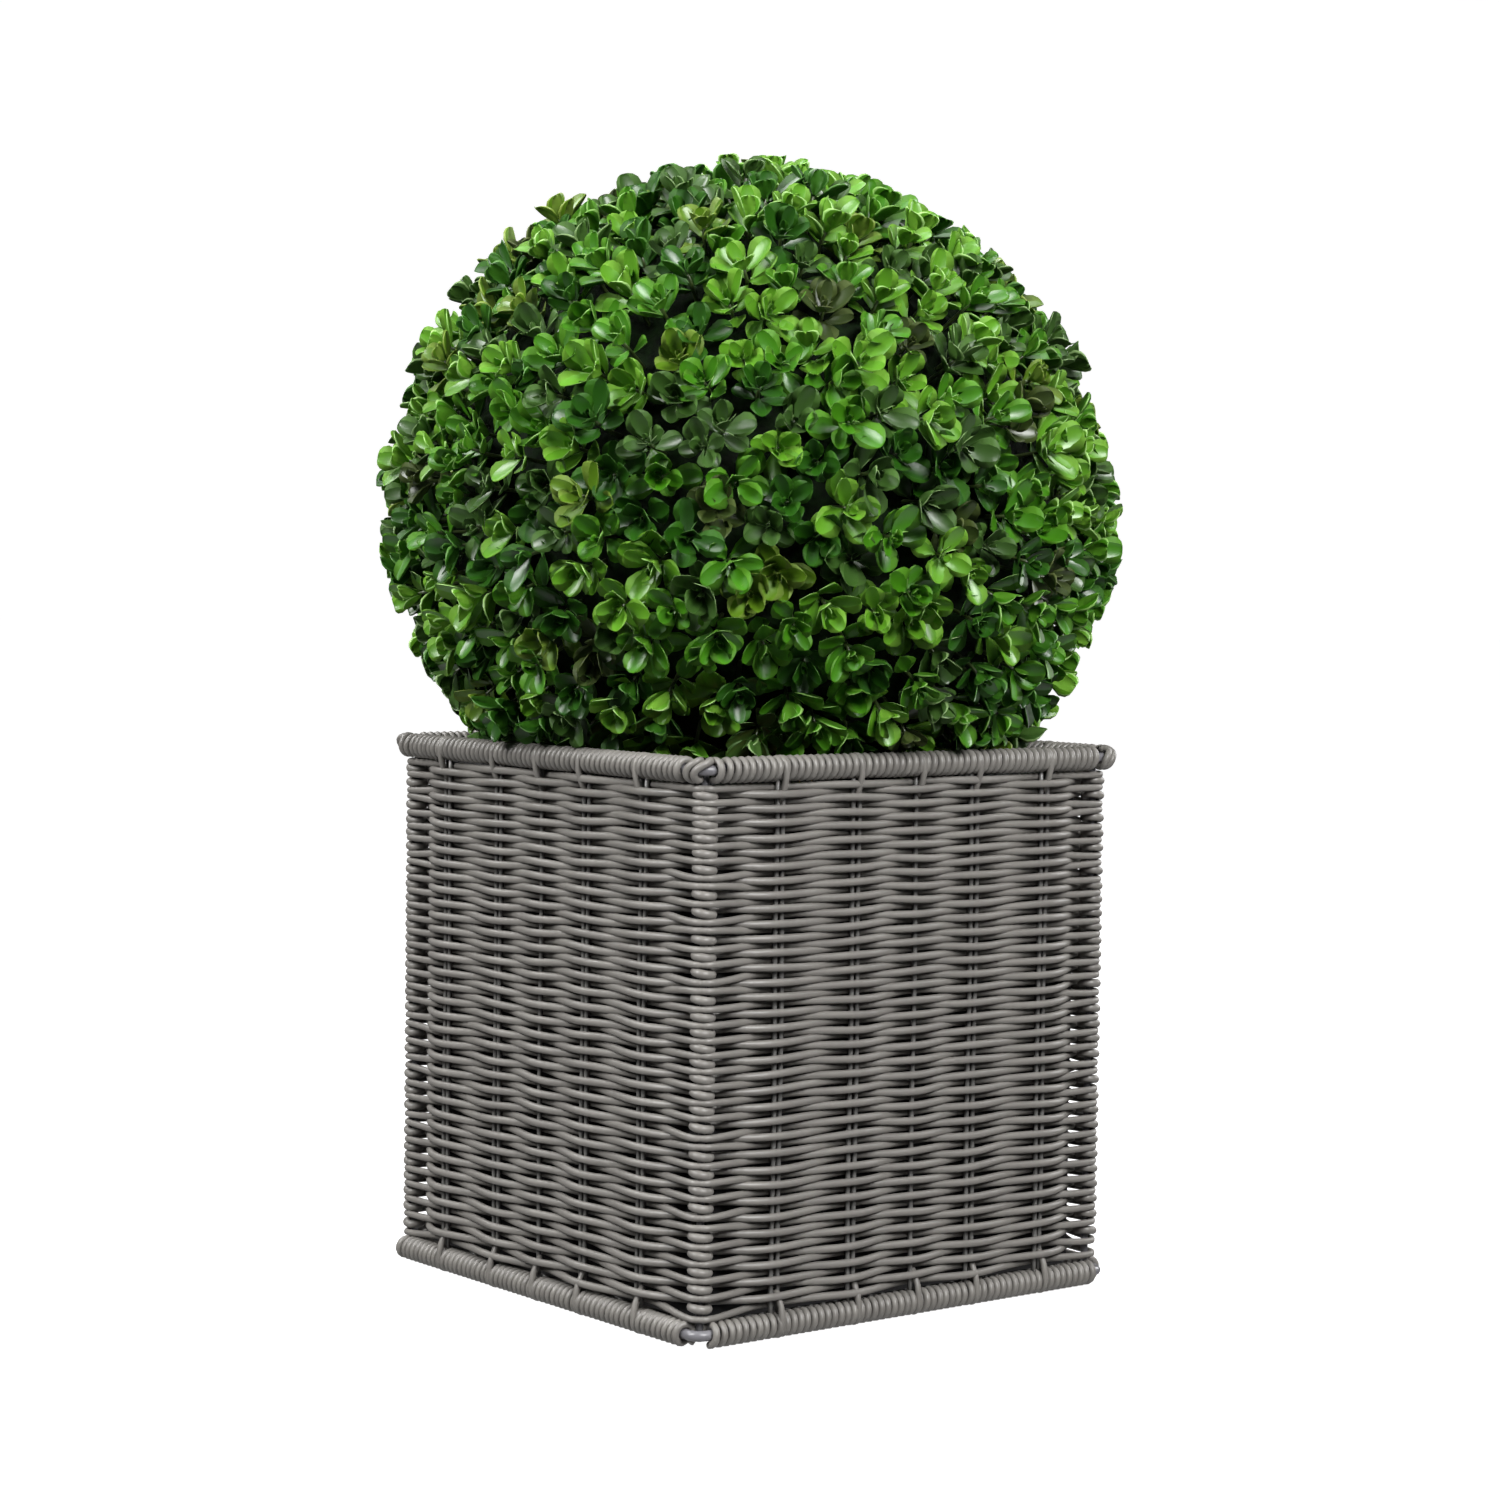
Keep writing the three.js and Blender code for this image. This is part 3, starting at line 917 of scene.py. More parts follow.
@dataclass
class CornerPosts:
    """The four upright rods, with a loop of cane round each between the rows of the weave."""

    weave: WovenWalls
    sizes: PlanterSizes = SIZES
    post: float = 3.3
    cane: float = 3.9
    loop_radius: float = 3.75
    loop_steps: int = 18
    slopes: Span = (0.102, 0.238)

    def rod(self) -> Array:
        """Gives the centre line of the front right post.

        Returns:
            The points of the line, one a row.
        """
        s = self.sizes
        z = np.linspace(s.rod / 2 + 0.4, s.rim_height, 12)
        return xyz(s.post_place, -s.post_place, z)

    def loops(self, quarter: int) -> Array:
        """Gives the middle lines of the loops, each a tilted circle about the post.

        Args:
            quarter: Which post it is, so that each lacks loops in other places.

        Returns:
            The points, as loops by points by three.
        """
        s = self.sizes
        rows = self.weave.corner_heights(quarter)
        between = np.delete((rows[1:] + rows[:-1]) / 2, self.weave.gaps_at(quarter))
        angle = full_turn(self.loop_steps)[None]
        away = math.radians(-45)
        x = s.post_place + self.loop_radius * np.cos(angle)
        y = -s.post_place + self.loop_radius * np.sin(angle)
        tilt = within(self.slopes, between, 43 + quarter)[:, None]
        return xyz(x, y, between[:, None] - tilt * self.loop_radius * np.sin(angle - away))

    def build(self, cane: Material, rod: Material) -> None:
        """Makes each post and its loops.

        Args:
            cane: The material of the loops.
            rod: The material of the posts.
        """
        for quarter, corner in enumerate(CORNERS):
            node = f"corner_post_{corner}"
            upright = tubes(self.rod()[None], self.post / 2, 16, (1, 0, 0)).turned(quarter)
            piece(f"{node}_rod", upright, [rod], [node])
            loops = tubes(self.loops(quarter), self.cane / 2, 10, (0, 0, 1), closed=True)
            piece(f"{node}_loops", loops.turned(quarter), [cane], [node])


@dataclass
class WovenBase:
    """The planter's base: cane woven over stakes, inside the lower ring."""

    sizes: PlanterSizes = SIZES
    half: float = 112.6
    cut: float = 12.0
    thick: float = 9.2
    cane: float = 3.3
    lines: int = 64
    steps: int = 57
    margin: float = 2.0
    stake_margin: float = 0.5
    edge: float = 1.8
    slack: float = 0.05
    stakes: tuple[float, ...] = (-90.0, -60.0, -30.0, 0.0, 30.0, 60.0, 90.0)
    stake_rod: float = 2.2

    def rows(self) -> Array:
        """Gives the middle lines: waves that pass over and under the stakes by turns.

        Returns:
            Their points, as rows by points by three.
        """
        y = self.half - self.margin
        y = np.linspace(-y, y, self.lines)[:, None]
        corner = np.maximum(0, np.abs(y) - (self.half - self.cut))
        x = (self.half - self.edge - corner) * np.linspace(-1, 1, self.steps)[None]
        turn = math.pi * (np.arange(self.lines)[:, None] % 2)
        lift = (self.thick - self.cane) / 2 - self.slack
        pitch = self.stakes[1] - self.stakes[0]
        return xyz(x, y, self.thick / 2 + lift * np.cos(math.pi * x / pitch + turn))

    def build(self, cane: Material, rod: Material) -> None:
        """Makes the woven rows and the stakes that they pass.

        Args:
            cane: The material of the rows.
            rod: The material of the stakes.
        """
        rows = tubes(self.rows(), self.cane / 2, 6, (0, 0, 1))
        piece("base_weave", rows, [cane], ["base_panel"])
        y = self.half - self.stake_margin
        y = np.linspace(-y, y, 8)[None]
        place = np.array(self.stakes)[:, None]
        stakes = tubes(xyz(place, y, self.thick / 2), self.stake_rod / 2, 8, (0, 0, 1))
        piece("base_stakes", stakes, [rod], ["base_panel"])


@dataclass
class LinerFilm:
    """The black film inside the walls: a square pot with round corners and soft creases."""

    half: float = 111.6
    corner: float = 10.0
    foot: float = 9.8
    top: float = 243.7
    thick: float = 0.6
    crease: float = 0.9
    creases: tuple[Place, ...] = ((9, 31, 0.0), (23, -17, 1.3), (41, 9, 4.0))
    around: int = 160
    rows: int = 44

    def sheet(self, inset: float) -> Array:
        """Gives the points of one side of the film, from the foot up.

        A point lies where a ray from the middle meets the rounded square. It is moved in by the
        inset and by the creases, which are three waves that cross each other.

        Args:
            inset: How far it lies inside the film's outer side.

        Returns:
            The points, as rows by columns by three.
        """
        angle = full_turn(self.around)[None]
        z = np.linspace(self.foot + inset, self.top, self.rows)[:, None]
        flat = self.half - self.corner
        c, s = np.abs(np.cos(angle)), np.abs(np.sin(angle))
        straight = self.half / np.maximum(c, s)
        along = flat * (c + s)
        bent = along + np.sqrt(np.maximum(along**2 - 2 * flat**2 + self.corner**2, 0))
        radius = np.where(straight * np.minimum(c, s) > flat, bent, straight)
        waves = [np.sin(n * angle + z / tall + lag) for n, tall, lag in self.creases]
        wave = sum(waves) / len(waves)
        radius = radius - inset - self.crease * (0.5 + 0.5 * wave)
        return xyz(radius * np.cos(angle), radius * np.sin(angle), z)

    def build(self, film: Material) -> None:
        """Makes the film as one closed skin: up the outside, over the top and down inside.

        Args:
            film: Its material.
        """
        outer, inner = self.sheet(0.0), self.sheet(self.thick)[::-1]
        skin = np.concatenate([outer, inner]).reshape(-1, 3)
        points = np.concatenate([skin, [[0, 0, self.foot], [0, 0, self.foot + self.thick]]])
        faces = [f[:, ::-1] for f in capped_faces(2 * self.rows, self.around)]
        surface = Surface(points, faces)
        piece("liner_film", surface, [film], ["liner"])


@dataclass
class MouldedStem:
    """The short stem that carries the ball, with ridges and furrows like bark."""

    foot: float = 120.0
    top: float = 300.0
    foot_radius: float = 11.0
    radius: float = 8.0
    furrow: float = 1.1
    ridges: int = 9
    sways: tuple[Place, ...] = ((0.35, 19, 0), (0.18, 7, 2))
    knots: Place = (0.3, 3.7, 3)
    around: int = 48
    rows: int = 90

    def build(self, bark: Material) -> None:
        """Makes the stem: a taper cut by furrows that wander as they climb, with flat ends.

        Args:
            bark: Its material.
        """
        share = np.linspace(0, 1, self.rows)[:, None]
        angle = full_turn(self.around)[None]
        z = self.foot + (self.top - self.foot) * share
        taper = self.radius + (self.foot_radius - self.radius) * (1 - share) ** 2
        sway = angle + sum(far * np.sin(z / tall + lag) for far, tall, lag in self.sways)
        deep, tall, n = self.knots
        knots = 1 - deep + deep * np.sin(z / tall + n * angle)
        ridges = np.abs(np.sin(self.ridges / 2 * sway)) * knots
        thick = taper - self.furrow * (1 - np.clip(ridges, 0, 1))
        skin = xyz(thick * np.cos(angle), thick * np.sin(angle), z).reshape(-1, 3)
        points = np.concatenate([skin, [[0, 0, self.foot], [0, 0, self.top]]])
        faces = [f[:, ::-1] for f in capped_faces(self.rows, self.around)]
        surface = Surface(points, faces)
        piece("stem_bark", surface, [bark], ["stem"])


@dataclass
class CoirFibres:
    """Loose fibres on the coir, and wisps that show between the rim and the weave."""

    top: float = 241.5
    half: float = 103.0
    count: int = 900
    lengths: Span = (8.0, 20.0)
    curl: float = 1.6
    lie: float = 0.15
    arches: Span = (0.3, 1.8)
    steps: int = 6
    wisps: int = 220
    wisp_place: float = 113.4
    wisp_run: float = 190.0
    wisp_top: float = 240.6
    wisp_drop: float = 7.0
    wisp_lengths: Span = (3.0, 10.0)
    wisp_slope: float = 1.2
    wisp_depth: float = 0.9
    wisp_bow: float = 0.4
    tufts: int = 22
    tuft_wide: float = 16.0
    thread: float = 0.24

    def wisp_paths(self) -> Array:
        """Gives the wisps: threads that lie in tufts between the film and the weave.

        Returns:
            Their points, as threads by points by three.
        """
        i = np.arange(self.wisps)
        tuft = i % self.tufts
        along = self.wisp_run * (chance(tuft, 91) - 0.5) + self.tuft_wide * (chance(i, 92) - 0.5)
        middle = self.wisp_top - self.wisp_drop * chance(tuft, 93) * chance(i, 94)
        length = within(self.wisp_lengths, i, 95)
        slope = self.wisp_slope * (chance(i, 96) - 0.5)
        share = np.linspace(-0.5, 0.5, self.steps)[None]
        x = along[:, None] + length[:, None] * share
        y = -self.wisp_place + self.wisp_depth * (chance(i, 97)[:, None] - 0.5)
        y = y + self.wisp_bow * np.cos(6 * share)
        paths = xyz(x, y, middle[:, None] + (length * slope)[:, None] * share)
        return np.stack([quarter_turns(p, q) for p, q in zip(paths, tuft % 4)])

    def build(self, coir: Material) -> None:
        """Makes the fibres: short curved threads that lie on the coir, and the wisps.

        Args:
            coir: Their material.
        """
        i = np.arange(self.count)[:, None]
        share = np.linspace(-0.5, 0.5, self.steps)[None]
        turn = 2 * math.pi * chance(i, 82) + self.curl * (chance(i, 84) - 0.5) * share
        run = within(self.lengths, i, 83) * share
        x = self.half * (2 * chance(i, 80) - 1) + run * np.cos(turn)
        y = self.half * (2 * chance(i, 81) - 1) + run * np.sin(turn)
        x, y = (np.clip(way, -self.half, self.half) for way in (x, y))
        z = self.top + self.lie + within(self.arches, i, 85) * (1 - 4 * share**2)
        paths = np.concatenate([xyz(x, y, z), self.wisp_paths()])
        fibres = tubes(paths, self.thread, 3, (0.03, 0.02, 1))
        piece("coir_fibres", fibres, [coir])


# ---- The ball ----


@dataclass(frozen=True)
class LeafShape:
    """A box leaf: a spoon-shaped blade, widest past its middle, with a round tip.

    The half width grows as a sine to the widest place, to a power that narrows the foot, and
    ends in a quarter of an ellipse. The blade is hollow from edge to edge and lifts at its tip.
    """

    stations: tuple[float, ...] = (0.15, 0.4, 0.64, 0.82, 0.93, 0.985)
    across: tuple[float, ...] = (-1.0, -0.84, 0.0, 0.84, 1.0)
    widest: float = 0.65
    foot_power: float = 1.4
    hollow: float = 0.2
    hollow_power: float = 1.6
    lift: float = 0.13
    lift_from: float = 0.3
    foot_lift: float = 0.18
    tip_lift: float = 0.98
    tip_rise: float = 0.03
    thick: float = 0.035

    def template(self) -> tuple[Array, list[Array], list[Array]]:
        """Works out the leaf of length one and width one.

        Its points run along +X, across Y and up Z. Each ring has the points of the upper
        side and one point in the middle of the underside, and a point closes each end.

        Returns:
            The points, the tables of faces and the finish numbers of their faces.
        """
        t = np.array(self.stations)[:, None]
        v = np.array([*self.across, 0.0])[None]
        foot_part = np.sin(0.5 * math.pi * np.minimum(t / self.widest, 1)) ** self.foot_power
        tip_part = np.sqrt(1 - np.maximum(0, (t - self.widest) / (1 - self.widest)) ** 2)
        half = 0.5 * foot_part * tip_part
        z = self.hollow * np.abs(v) ** self.hollow_power * half * 2
        z = z + self.lift * (t - self.lift_from) ** 2 * 2
        z = z - np.array([0, 0, 0, 0, 0, 1.0])[None] * self.thick * (1 - 0.5 * t)
        ring = xyz(t, half * v, z).reshape(-1, 3)
        foot = [0.0, 0.0, self.lift * self.foot_lift]
        tip = [1.0, 0.0, self.lift * self.tip_lift + self.tip_rise]
        points = np.concatenate([ring, [foot, tip]])
        # Finish numbers: 0 upper blade, 1 the outer band of the upper side, lighter as a painted
        # highlight, 2 underside.
        kind = np.array([1, 0, 0, 1, 2, 2])
        return points, capped_faces(len(t), 6), [np.tile(kind, len(t) - 1), np.tile(kind, 2)]

    def grown(self, place: "LeafPlaces") -> Surface:
        """Makes a leaf at every place.

        Args:
            place: Roots, directions and sizes of the leaves.

        Returns:
            The leaves' surface.
        """
        template, faces, kinds = self.template()
        upper = np.cross(place.forwards, place.across)
        x, y, z = (template[None, :, k, None] for k in range(3))
        length, width = place.length[:, None, None], place.width[:, None, None]
        points = (place.root[:, None] + x * length * place.forwards[:, None]
                  + y * width * place.across[:, None] + z * length * upper[:, None])
        count = len(place.length)
        return Surface(points.reshape(-1, 3), repeated(faces, count, len(template)),
                       [np.tile(k, count) for k in kinds])


@dataclass
class LeafPlaces:
    """Where leaves grow: for each its root, directions and sizes, and its spray's number."""

    root: Array
    forwards: Array
    across: Array
    length: Array
    width: Array
    spray: Array

    def kept(self, mask: Array) -> "LeafPlaces":
        """Keeps the leaves that a mask marks."""
        return LeafPlaces(*(getattr(self, f)[mask] for f in self.__dataclass_fields__))

    @staticmethod
    def joined(parts: Sequence["LeafPlaces"]) -> "LeafPlaces":
        """Puts several lots of leaves into one."""
        names = LeafPlaces.__dataclass_fields__
        return LeafPlaces(*(np.concatenate([getattr(p, f) for p in parts]) for f in names))


@dataclass(frozen=True)
class Whorl:
    """A ring of leaves on a twig, in opposite pairs.

    Attributes:
        below: How far below the twig's tip it sits.
        turn: How far it is turned about the twig, in degrees.
        open: The angle between a leaf and the twig, in degrees.
        spread: How much that angle differs from leaf to leaf.
        length: The length of its leaves.
        broad: Their width as a share of their length.
        trait: The number of the first trait that its seeded rule uses.
        leaves: How many leaves it has.
    """

    below: float
    turn: float
    open: float
    spread: float
    length: float
    broad: float
    trait: int
    leaves: int = 2


@dataclass
class BoxBall:
    """The clipped ball: a core painted near-black green as the shade deep inside it, twigs that
    stand out of it, and whorls of box leaves.

    The sprays lie on a golden spiral, each with its own tilt and twist by a seeded rule.
    """

    height: float = 364.0
    radius: float = 172.0
    rise: float = 165.0
    stray: float = 1.04
    clip: float = 10.5
    box: Place = (171.8, 172.2, 166.0)
    swells: tuple[tuple[Place, float, float], ...] = (
        ((-0.62, -0.78, 0.05), 0.026, 2.5),
        ((0.52, 0.66, 0.54), -0.034, 3.0),
        ((0.61, 0.78, -0.12), 0.022, 3.0),
        ((-0.31, -0.39, 0.87), 0.014, 8.0),
        ((0.31, 0.39, 0.87), 0.012, 8.0),
    )
    sprays: int = 780
    share: float = 0.955
    share_spread: float = 0.075
    scatter: float = 0.055
    lean: float = 0.55
    spray_size: Span = (0.82, 1.12)
    leaf_size: Span = (0.8, 1.16)
    leaf_breadth: Span = (0.9, 1.1)
    leaf_turn: float = 0.7
    leaf_root: float = 0.35
    ragged: float = 1.5
    slant: float = 1.02
    shortest: float = 0.35
    broadest: float = 1.1
    least: float = 4.0
    shortenings: tuple[float, ...] = (1.0, 0.85, 0.7, 0.55, 0.4)
    probes: tuple[Span, ...] = (
        (0.35, 0), (0.7, 0), (1.0, 0), (0.7, 0.5), (0.7, -0.5))
    core: float = 0.83
    core_rough: float = 0.045
    core_grid: tuple[int, int] = (60, 96)
    twig_root: float = 0.09
    twig_bend: float = 11.0
    twig_foot: float = 1.3
    twig_tip: float = 0.7
    wall_room: float = 5.4
    rim_room: float = 0.5
    rim_depth: float = 14.0
    planter: PlanterSizes = SIZES
    coir_top: float = 242.0
    leaf: LeafShape = field(default_factory=LeafShape)
    whorls: tuple[Whorl, ...] = (
        Whorl(0.6, 0, 38, 20, 16.2, 0.7, 10),
        Whorl(2.4, 90, 50, 22, 17.0, 0.7, 16),
        Whorl(0.0, 45, 20, 12, 8.0, 0.55, 22),
        Whorl(-0.6, 135, 10, 8, 4.5, 0.50, 28),
        Whorl(6.5, 20, 66, 20, 16.6, 0.7, 34),
        Whorl(8.5, 110, 78, 20, 16.2, 0.7, 40),
    )

    def swell(self, way: Array) -> Array:
        """Gives how far the ball stands out each way, as a share: even but for a few swells.

        Each swell falls off as a bell from its own direction, and is a hollow if it is negative.

        Args:
            way: Directions from the ball's middle.

        Returns:
            The shares, about one.
        """
        share = np.ones(way.shape[:-1])
        for toward, gain, narrow in self.swells:
            share = share + gain * np.exp(-narrow * (1 - way @ unit(np.array(toward))))
        return share[..., None]

    def on_ball(self, way: Array, share: Array | float) -> Array:
        """Gives the point at a share of the ball's radius, each way from its middle."""
        size = np.array([self.radius, self.radius, self.rise]) * self.swell(way)
        return way * size * np.asarray(share)[..., None] + np.array([0, 0, self.height])

    def room(self, point: Array, way: Array) -> Array:
        """Measures how far leaves may reach from points inside the ball.

        They may reach a little past the ball, but not past the sides and the top of its box.
        The ball is squashed to a unit ball, where the distance is the positive root of a
        quadratic.

        Args:
            point: The points.
            way: The direction from each.

        Returns:
            The distances.
        """
        inside = point - np.array([0, 0, self.height])
        size = np.array([self.radius, self.radius, self.rise]) * self.stray
        size = size * self.swell(unit(inside))
        start, go = inside / size, way / size
        square = np.sum(go * go, -1)
        half = np.sum(start * go, -1) / square
        round_room = np.sqrt(half * half + (1 - np.sum(start * start, -1)) / square) - half
        flat_room = (np.array(self.box) - np.sign(way) * inside) / np.maximum(np.abs(way), 1e-9)
        flat_room[..., 2] = np.where(way[..., 2] > 0, flat_room[..., 2], np.inf)
        return np.minimum(round_room, flat_room.min(-1))

    def frames(self) -> tuple[Array, Array, Array, Array]:
        """Works out each spray's frame.

        Returns:
            The way from the ball's middle, the twig's direction, a direction at a right
            angle to it, and the twist, for each spray.
        """
        i = np.arange(self.sprays)
        up = 1 - 2 * (i + 0.5) / self.sprays
        level = np.sqrt(1 - up * up)
        angle = i * GOLDEN_ANGLE
        way = np.stack([level * np.cos(angle), level * np.sin(angle), up], -1)
        scatter = np.stack([chance(i, k) for k in (71, 72, 73)], -1) - 0.5
        way = unit(way + self.scatter * scatter)
        tilt = np.stack([chance(i, k) for k in (1, 2, 3)], -1) - 0.5
        axis = unit(way + self.lean * tilt)
        side = np.stack([-way[:, 1], way[:, 0], np.zeros(len(i))], -1)
        side = unit(side - np.sum(side * axis, -1, keepdims=True) * axis)
        return way, axis, side, 2 * math.pi * chance(i, 4)

    def places(self) -> LeafPlaces:
        """Works out where every leaf grows.

        A leaf leans out from its twig by its whorl's angle. It is shortened where it would
        reach past the ball's outside, less a clipping depth of its own, or touch the planter.

        Returns:
            The places of all leaves.
        """
        way, axis, side, twist = self.frames()
        i = np.arange(self.sprays)
        tip = self.on_ball(way, self.share - self.share_spread * chance(i, 5))
        size = within(self.spray_size, i, 6)
        lots = []
        for whorl in self.whorls:
            for k in range(whorl.leaves):
                trait = whorl.trait + 2 * k
                lean = np.radians(whorl.open + whorl.spread * (chance(i, trait) - 0.5) * 2)
                around = twist + math.radians(whorl.turn) + 2 * math.pi * k / whorl.leaves
                around = around + self.leaf_turn * (chance(i, trait + 1) - 0.5)
                c, s = np.cos(around)[:, None], np.sin(around)[:, None]
                outwards = side * c + np.cross(axis, side) * s
                forwards = axis * np.cos(lean)[:, None] + outwards * np.sin(lean)[:, None]
                across = np.cross(axis, outwards)
                root = tip - axis * whorl.below + outwards * self.leaf_root
                want = whorl.length * size * within(self.leaf_size, i, trait + 50)
                depth = self.clip * np.sqrt(chance(i, 7)) + self.ragged * chance(i, trait + 52)
                flat = self.room(root, forwards) / self.slant
                length = np.minimum(want, np.maximum(flat - depth, self.shortest * flat))
                width = whorl.broad * want * within(self.leaf_breadth, i, trait + 51)
                width = np.minimum(width, self.broadest * length)
                lots.append(LeafPlaces(root, forwards, across, length, width, i))
        every = LeafPlaces.joined(lots)
        size = np.zeros(len(every.length))
        for part in self.shortenings:
            fits = self.is_free(replace(every, length=every.length * part))
            size = np.where((size == 0) & fits, part, size)
        fitted = replace(every, length=every.length * size, width=every.width * np.sqrt(size))
        return fitted.kept(fitted.length > self.least)

    def blocked(self, points: Array) -> Array:
        """Marks points that lie in the rim's binding, a wall or the coir, or low outside.

        Args:
            points: The points.

        Returns:
            True for each point that no leaf or twig may reach.
        """
        s = self.planter
        off = np.max(np.abs(points[..., :2]), -1) - s.half
        z = points[..., 2]
        rim = off**2 + (z - s.rim_height) ** 2 < (s.rod / 2 + s.cane + self.rim_room) ** 2
        wall = (np.abs(off) < self.wall_room) & (z < s.rim_height)
        coir = (off < 0) & (z < self.coir_top)
        outside = (off >= 0) & (z < s.rim_height - self.rim_depth)
        return rim | wall | coir | outside

    def is_free(self, leaves: LeafPlaces) -> Array:
        """Marks the leaves that keep clear, by points along their middle and their edges.

        Args:
            leaves: The places of the leaves.

        Returns:
            True for each leaf that keeps clear.
        """
        free = np.ones(len(leaves.length), bool)
        for along, sidewards in self.probes:
            probe = (leaves.root + leaves.forwards * (leaves.length * along)[:, None]
                     + leaves.across * (leaves.width * sidewards)[:, None])
            free &= ~self.blocked(probe)
        return free

    def core_surface(self) -> Surface:
        """Makes the core: the ball's form, smaller, with a seeded grain. Its near-black finish is
        painted shade.

        Returns:
            Its surface.
        """
        rows, columns = self.core_grid
        down = math.pi * (np.arange(rows) + 0.5)[:, None] / rows
        turn = full_turn(columns)[None]
        grain = chance(np.arange(rows)[:, None] * columns + np.arange(columns)[None], 9)
        share = self.core - self.core_rough * grain
        way = xyz(np.sin(down) * np.cos(turn), np.sin(down) * np.sin(turn), np.cos(down))
        ring = self.on_ball(way, share).reshape(-1, 3)
        poles = self.on_ball(np.array([[0, 0, 1.0], [0, 0, -1.0]]), self.core - self.core_rough)
        points = np.concatenate([ring, poles])
        points[:, 2] = np.maximum(points[:, 2], self.coir_top + 1)
        return Surface(points, capped_faces(rows, columns))

    def twig_surface(self) -> Surface:
        """Makes the twigs: from inside the core to the tip, thinner towards the tip.

        Returns:
            Their surface.
        """
        way, axis, _, _ = self.frames()
        i = np.arange(self.sprays)
        tip = self.on_ball(way, self.share - self.share_spread * chance(i, 5))
        root = self.on_ball(way, self.core - self.twig_root)
        bend = tip - axis * self.twig_bend
        clear = ~(self.blocked(tip) | self.blocked(bend))
        t = np.linspace(0, 1, 5)[None, :, None]
        root, bend, tip = (p[clear][:, None] for p in (root, bend, tip))
        paths = root * (1 - t) ** 2 + 2 * bend * t * (1 - t) + tip * t**2
        thick = self.twig_foot + (self.twig_tip - self.twig_foot) * t[..., 0]
        return tubes(paths, thick, 5, (0.31, 0.17, 0.93))

    def build(self) -> None:
        """Makes core, twigs and the leaves of each tint."""
        halves = ["foliage_lower", "foliage_upper"]
        # The core is painted near-black: painted shade where the ball's inside lies in deep
        # shadow.
        piece("ball_core_painted_shade", self.core_surface(), [PAINTED_SHADE_CORE.material()], halves)
        bark = LeafFinish("twig_green", *[(52, 66, 28)] * 3)
        piece("ball_twigs", self.twig_surface(), bark.materials()[:1], halves)
        leaves = self.places()
        draw = chance(leaves.spray, 8)
        low = 0.0
        for tint in Tint:
            share, finish = tint.value
            chosen = leaves.kept((draw >= low) & (draw < low + share))
            low += share
            name = f"box_leaves_{tint.name.lower()}"
            piece(name, self.leaf.grown(chosen), finish.materials(), halves)


# ---- The studio ----


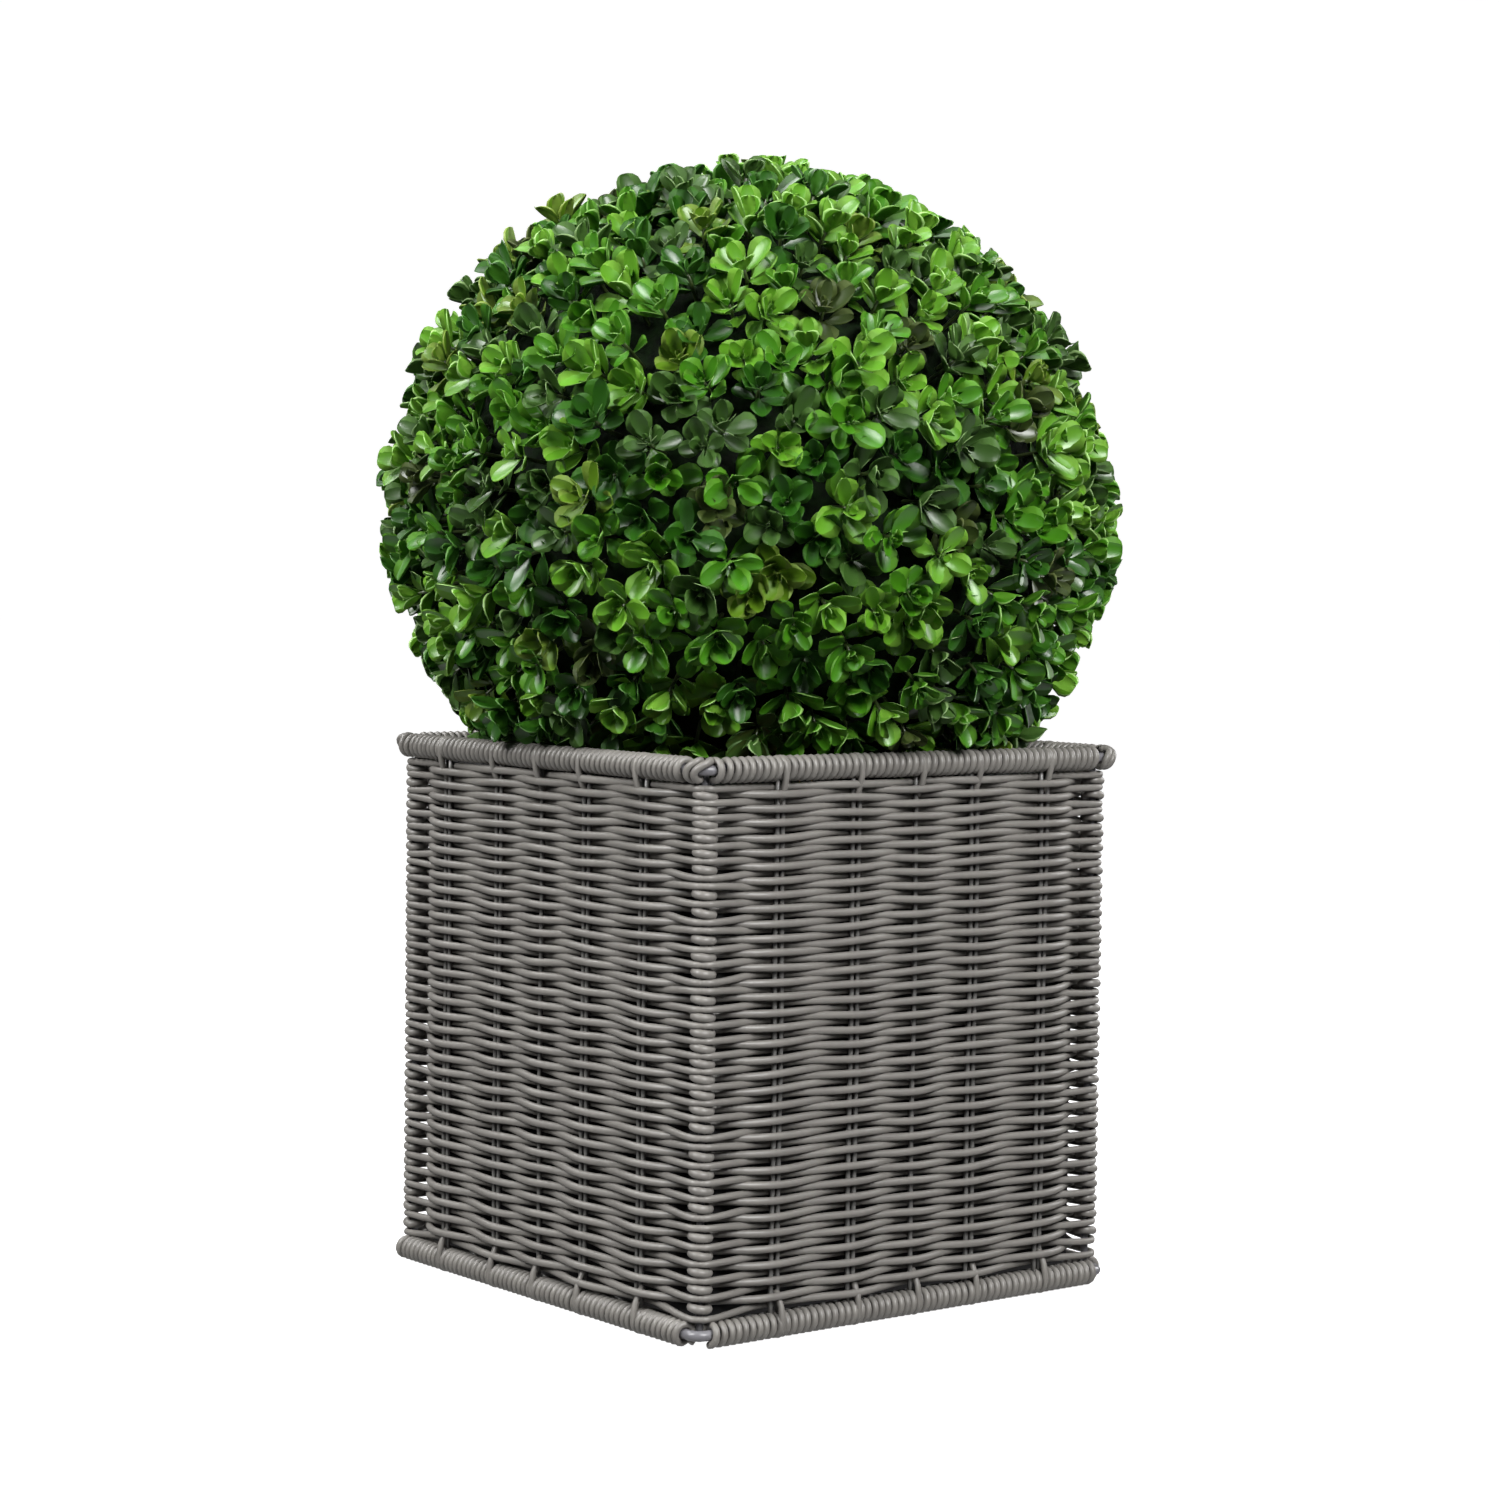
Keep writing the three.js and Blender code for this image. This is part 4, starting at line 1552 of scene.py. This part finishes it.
@dataclass
class Studio:
    """A pale floor, soft lights and the camera."""

    eye: Place = (1.21426, -0.95358, 0.33017)
    yaw: float = -51.8793
    pitch: float = 2.9947
    roll: float = 0.7071
    lens: float = 77.978
    ambient: float = 0.04
    floor_glow: float = 1.0
    reach: float = 22.0
    floor_height: float = -0.0004
    aim: Place = (0.0, 0.0, 0.25)
    softboxes: tuple[tuple[str, Place, float, float], ...] = (
        ("left_box", (-0.09, -1.75, 1.45), 1.0, 52.0),
        ("right_box", (1.73, -0.24, 1.45), 1.0, 61.0),
        ("top_box", (0.0, 0.1, 2.1), 1.2, 16.0),
        ("back_left_box", (-1.45, -0.5, 1.75), 0.9, 26.0),
        ("back_right_box", (0.2, 1.8, 0.9), 0.9, 18.0),
        ("floor_box", (0.0, 0.0, -0.9), 3.0, 16.0),
    )

    def camera(self) -> None:
        """Makes the camera, which looks at the planter's front right corner."""
        data = bpy.data.cameras.new("camera")
        data.sensor_width = 36.0
        data.lens = self.lens
        data.clip_end = 60.0
        yaw, pitch, roll = (math.radians(a) for a in (self.yaw, self.pitch, self.roll))
        ahead = Vector((math.cos(pitch) * math.sin(yaw), math.cos(pitch) * math.cos(yaw),
                        -math.sin(pitch)))
        level = Vector((math.cos(yaw), -math.sin(yaw), 0.0))
        up = level.cross(ahead)
        right = math.cos(roll) * level + math.sin(roll) * up
        top = -math.sin(roll) * level + math.cos(roll) * up
        seat = Matrix((right, top, -ahead)).transposed().to_4x4()
        seat.translation = Vector(self.eye)
        camera = bpy.data.objects.new("camera", data)
        camera.matrix_world = seat
        bpy.context.scene.collection.objects.link(camera)
        bpy.context.scene.camera = camera

    def softbox(self, name: str, place: Sequence[float], size: float, power: float) -> None:
        """Hangs a square area light that looks at the object.

        Args:
            name: Its name.
            place: Where it hangs, in metres.
            size: The length of its sides, in metres.
            power: Its power, in watts.
        """
        data = bpy.data.lights.new(name, "AREA")
        data.size = size
        data.energy = power
        lamp = bpy.data.objects.new(name, data)
        lamp.location = place
        aim = Vector(self.aim) - Vector(place)
        lamp.rotation_euler = aim.to_track_quat("-Z", "Y").to_euler()
        bpy.context.scene.collection.objects.link(lamp)

    def backdrop(self, name: str, corners: Array, faces: Array, glow: float) -> None:
        """Makes a pale surface that the camera sees and that lights nothing.

        Args:
            name: Its name.
            corners: Its points, in metres.
            faces: Its faces.
            glow: How much light of its own it shows.
        """
        mesh = bpy.data.meshes.new(name)
        mesh.from_pydata(corners.tolist(), [], faces.tolist())
        writer = NodeWriter(f"pale_{name}", 0.9, 0.0)
        grain = writer.noise(writer.place(), 3, 2)
        writer.ramp(grain, [(0.3, (149,) * 3), (0.7, (153,) * 3)])
        writer.shader.inputs["Emission Color"].default_value = (1, 1, 1, 1)
        writer.shader.inputs["Emission Strength"].default_value = glow
        mesh.materials.append(writer.material)
        made = bpy.data.objects.new(name, mesh)
        made.visible_diffuse = made.visible_glossy = made.visible_shadow = False
        bpy.context.scene.collection.objects.link(made)

    def build(self) -> None:
        """Sets up camera, world, floor, backdrop and lights."""
        scene = bpy.context.scene
        self.camera()
        reach = self.reach
        square = np.array([(-1, -1), (1, -1), (1, 1), (-1, 1)]) * reach
        floor = xyz(*square.T, self.floor_height)
        self.backdrop("floor", floor, np.array([[0, 1, 2, 3]]), self.floor_glow)
        turn = full_turn(48)[None]
        tall = (0.5 * math.pi * np.array([-0.3, 0.0, 0.3, 0.6, 0.9]))[:, None]
        dome = reach * xyz(np.cos(tall) * np.cos(turn), np.cos(tall) * np.sin(turn), np.sin(tall))
        self.backdrop("dome", dome.reshape(-1, 3), ring_faces(5, 48), 1.0)
        world = bpy.data.worlds.new("studio")
        world.use_nodes = True
        sky = world.node_tree.nodes["Background"]
        sky.inputs["Color"].default_value = (1, 1, 1, 1)
        sky.inputs["Strength"].default_value = self.ambient
        scene.world = world
        scene.view_settings.view_transform = "Standard"
        for name, place, size, power in self.softboxes:
            self.softbox(name, place, size, power)


# ---- Putting it together ----


def dress_solids() -> None:
    """Gives the one solid that stays in view its finish."""
    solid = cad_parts["coir_fill"]
    solid.data.materials.clear()
    solid.data.materials.append(COIR.material())
    LOG.info("coir_fill: finished as %s", COIR.name)


def main() -> None:
    """Builds every sub-assembly in order."""
    logging.basicConfig(level=logging.INFO, format="%(name)s: %(message)s")
    cane, rod = CaneFinish().material(), RodFinish().material()
    stake = RodFinish("coated_stake", ((0.3, (100, 99, 97)), (0.7, (118, 117, 114)))).material()
    coir = replace(COIR, name="coir_fibre").material()
    dress_solids()
    RodRing("lower", SIZES.foot_height).build(rod)
    RodRing("upper", SIZES.rim_height).build(rod)
    RodBinding("lower", SIZES.foot_height, half=115.2, bend_wraps=()).build(cane)
    RodBinding("upper", SIZES.rim_height).build(cane)
    weave = WovenWalls()
    weave.build(cane, stake)
    CornerPosts(weave).build(cane, rod)
    WovenBase().build(cane, stake)
    LinerFilm().build(LINER.material())
    MouldedStem().build(BARK.material())
    CoirFibres().build(coir)
    BoxBall().build()
    Studio().build()


if __name__ == "__main__":
    main()
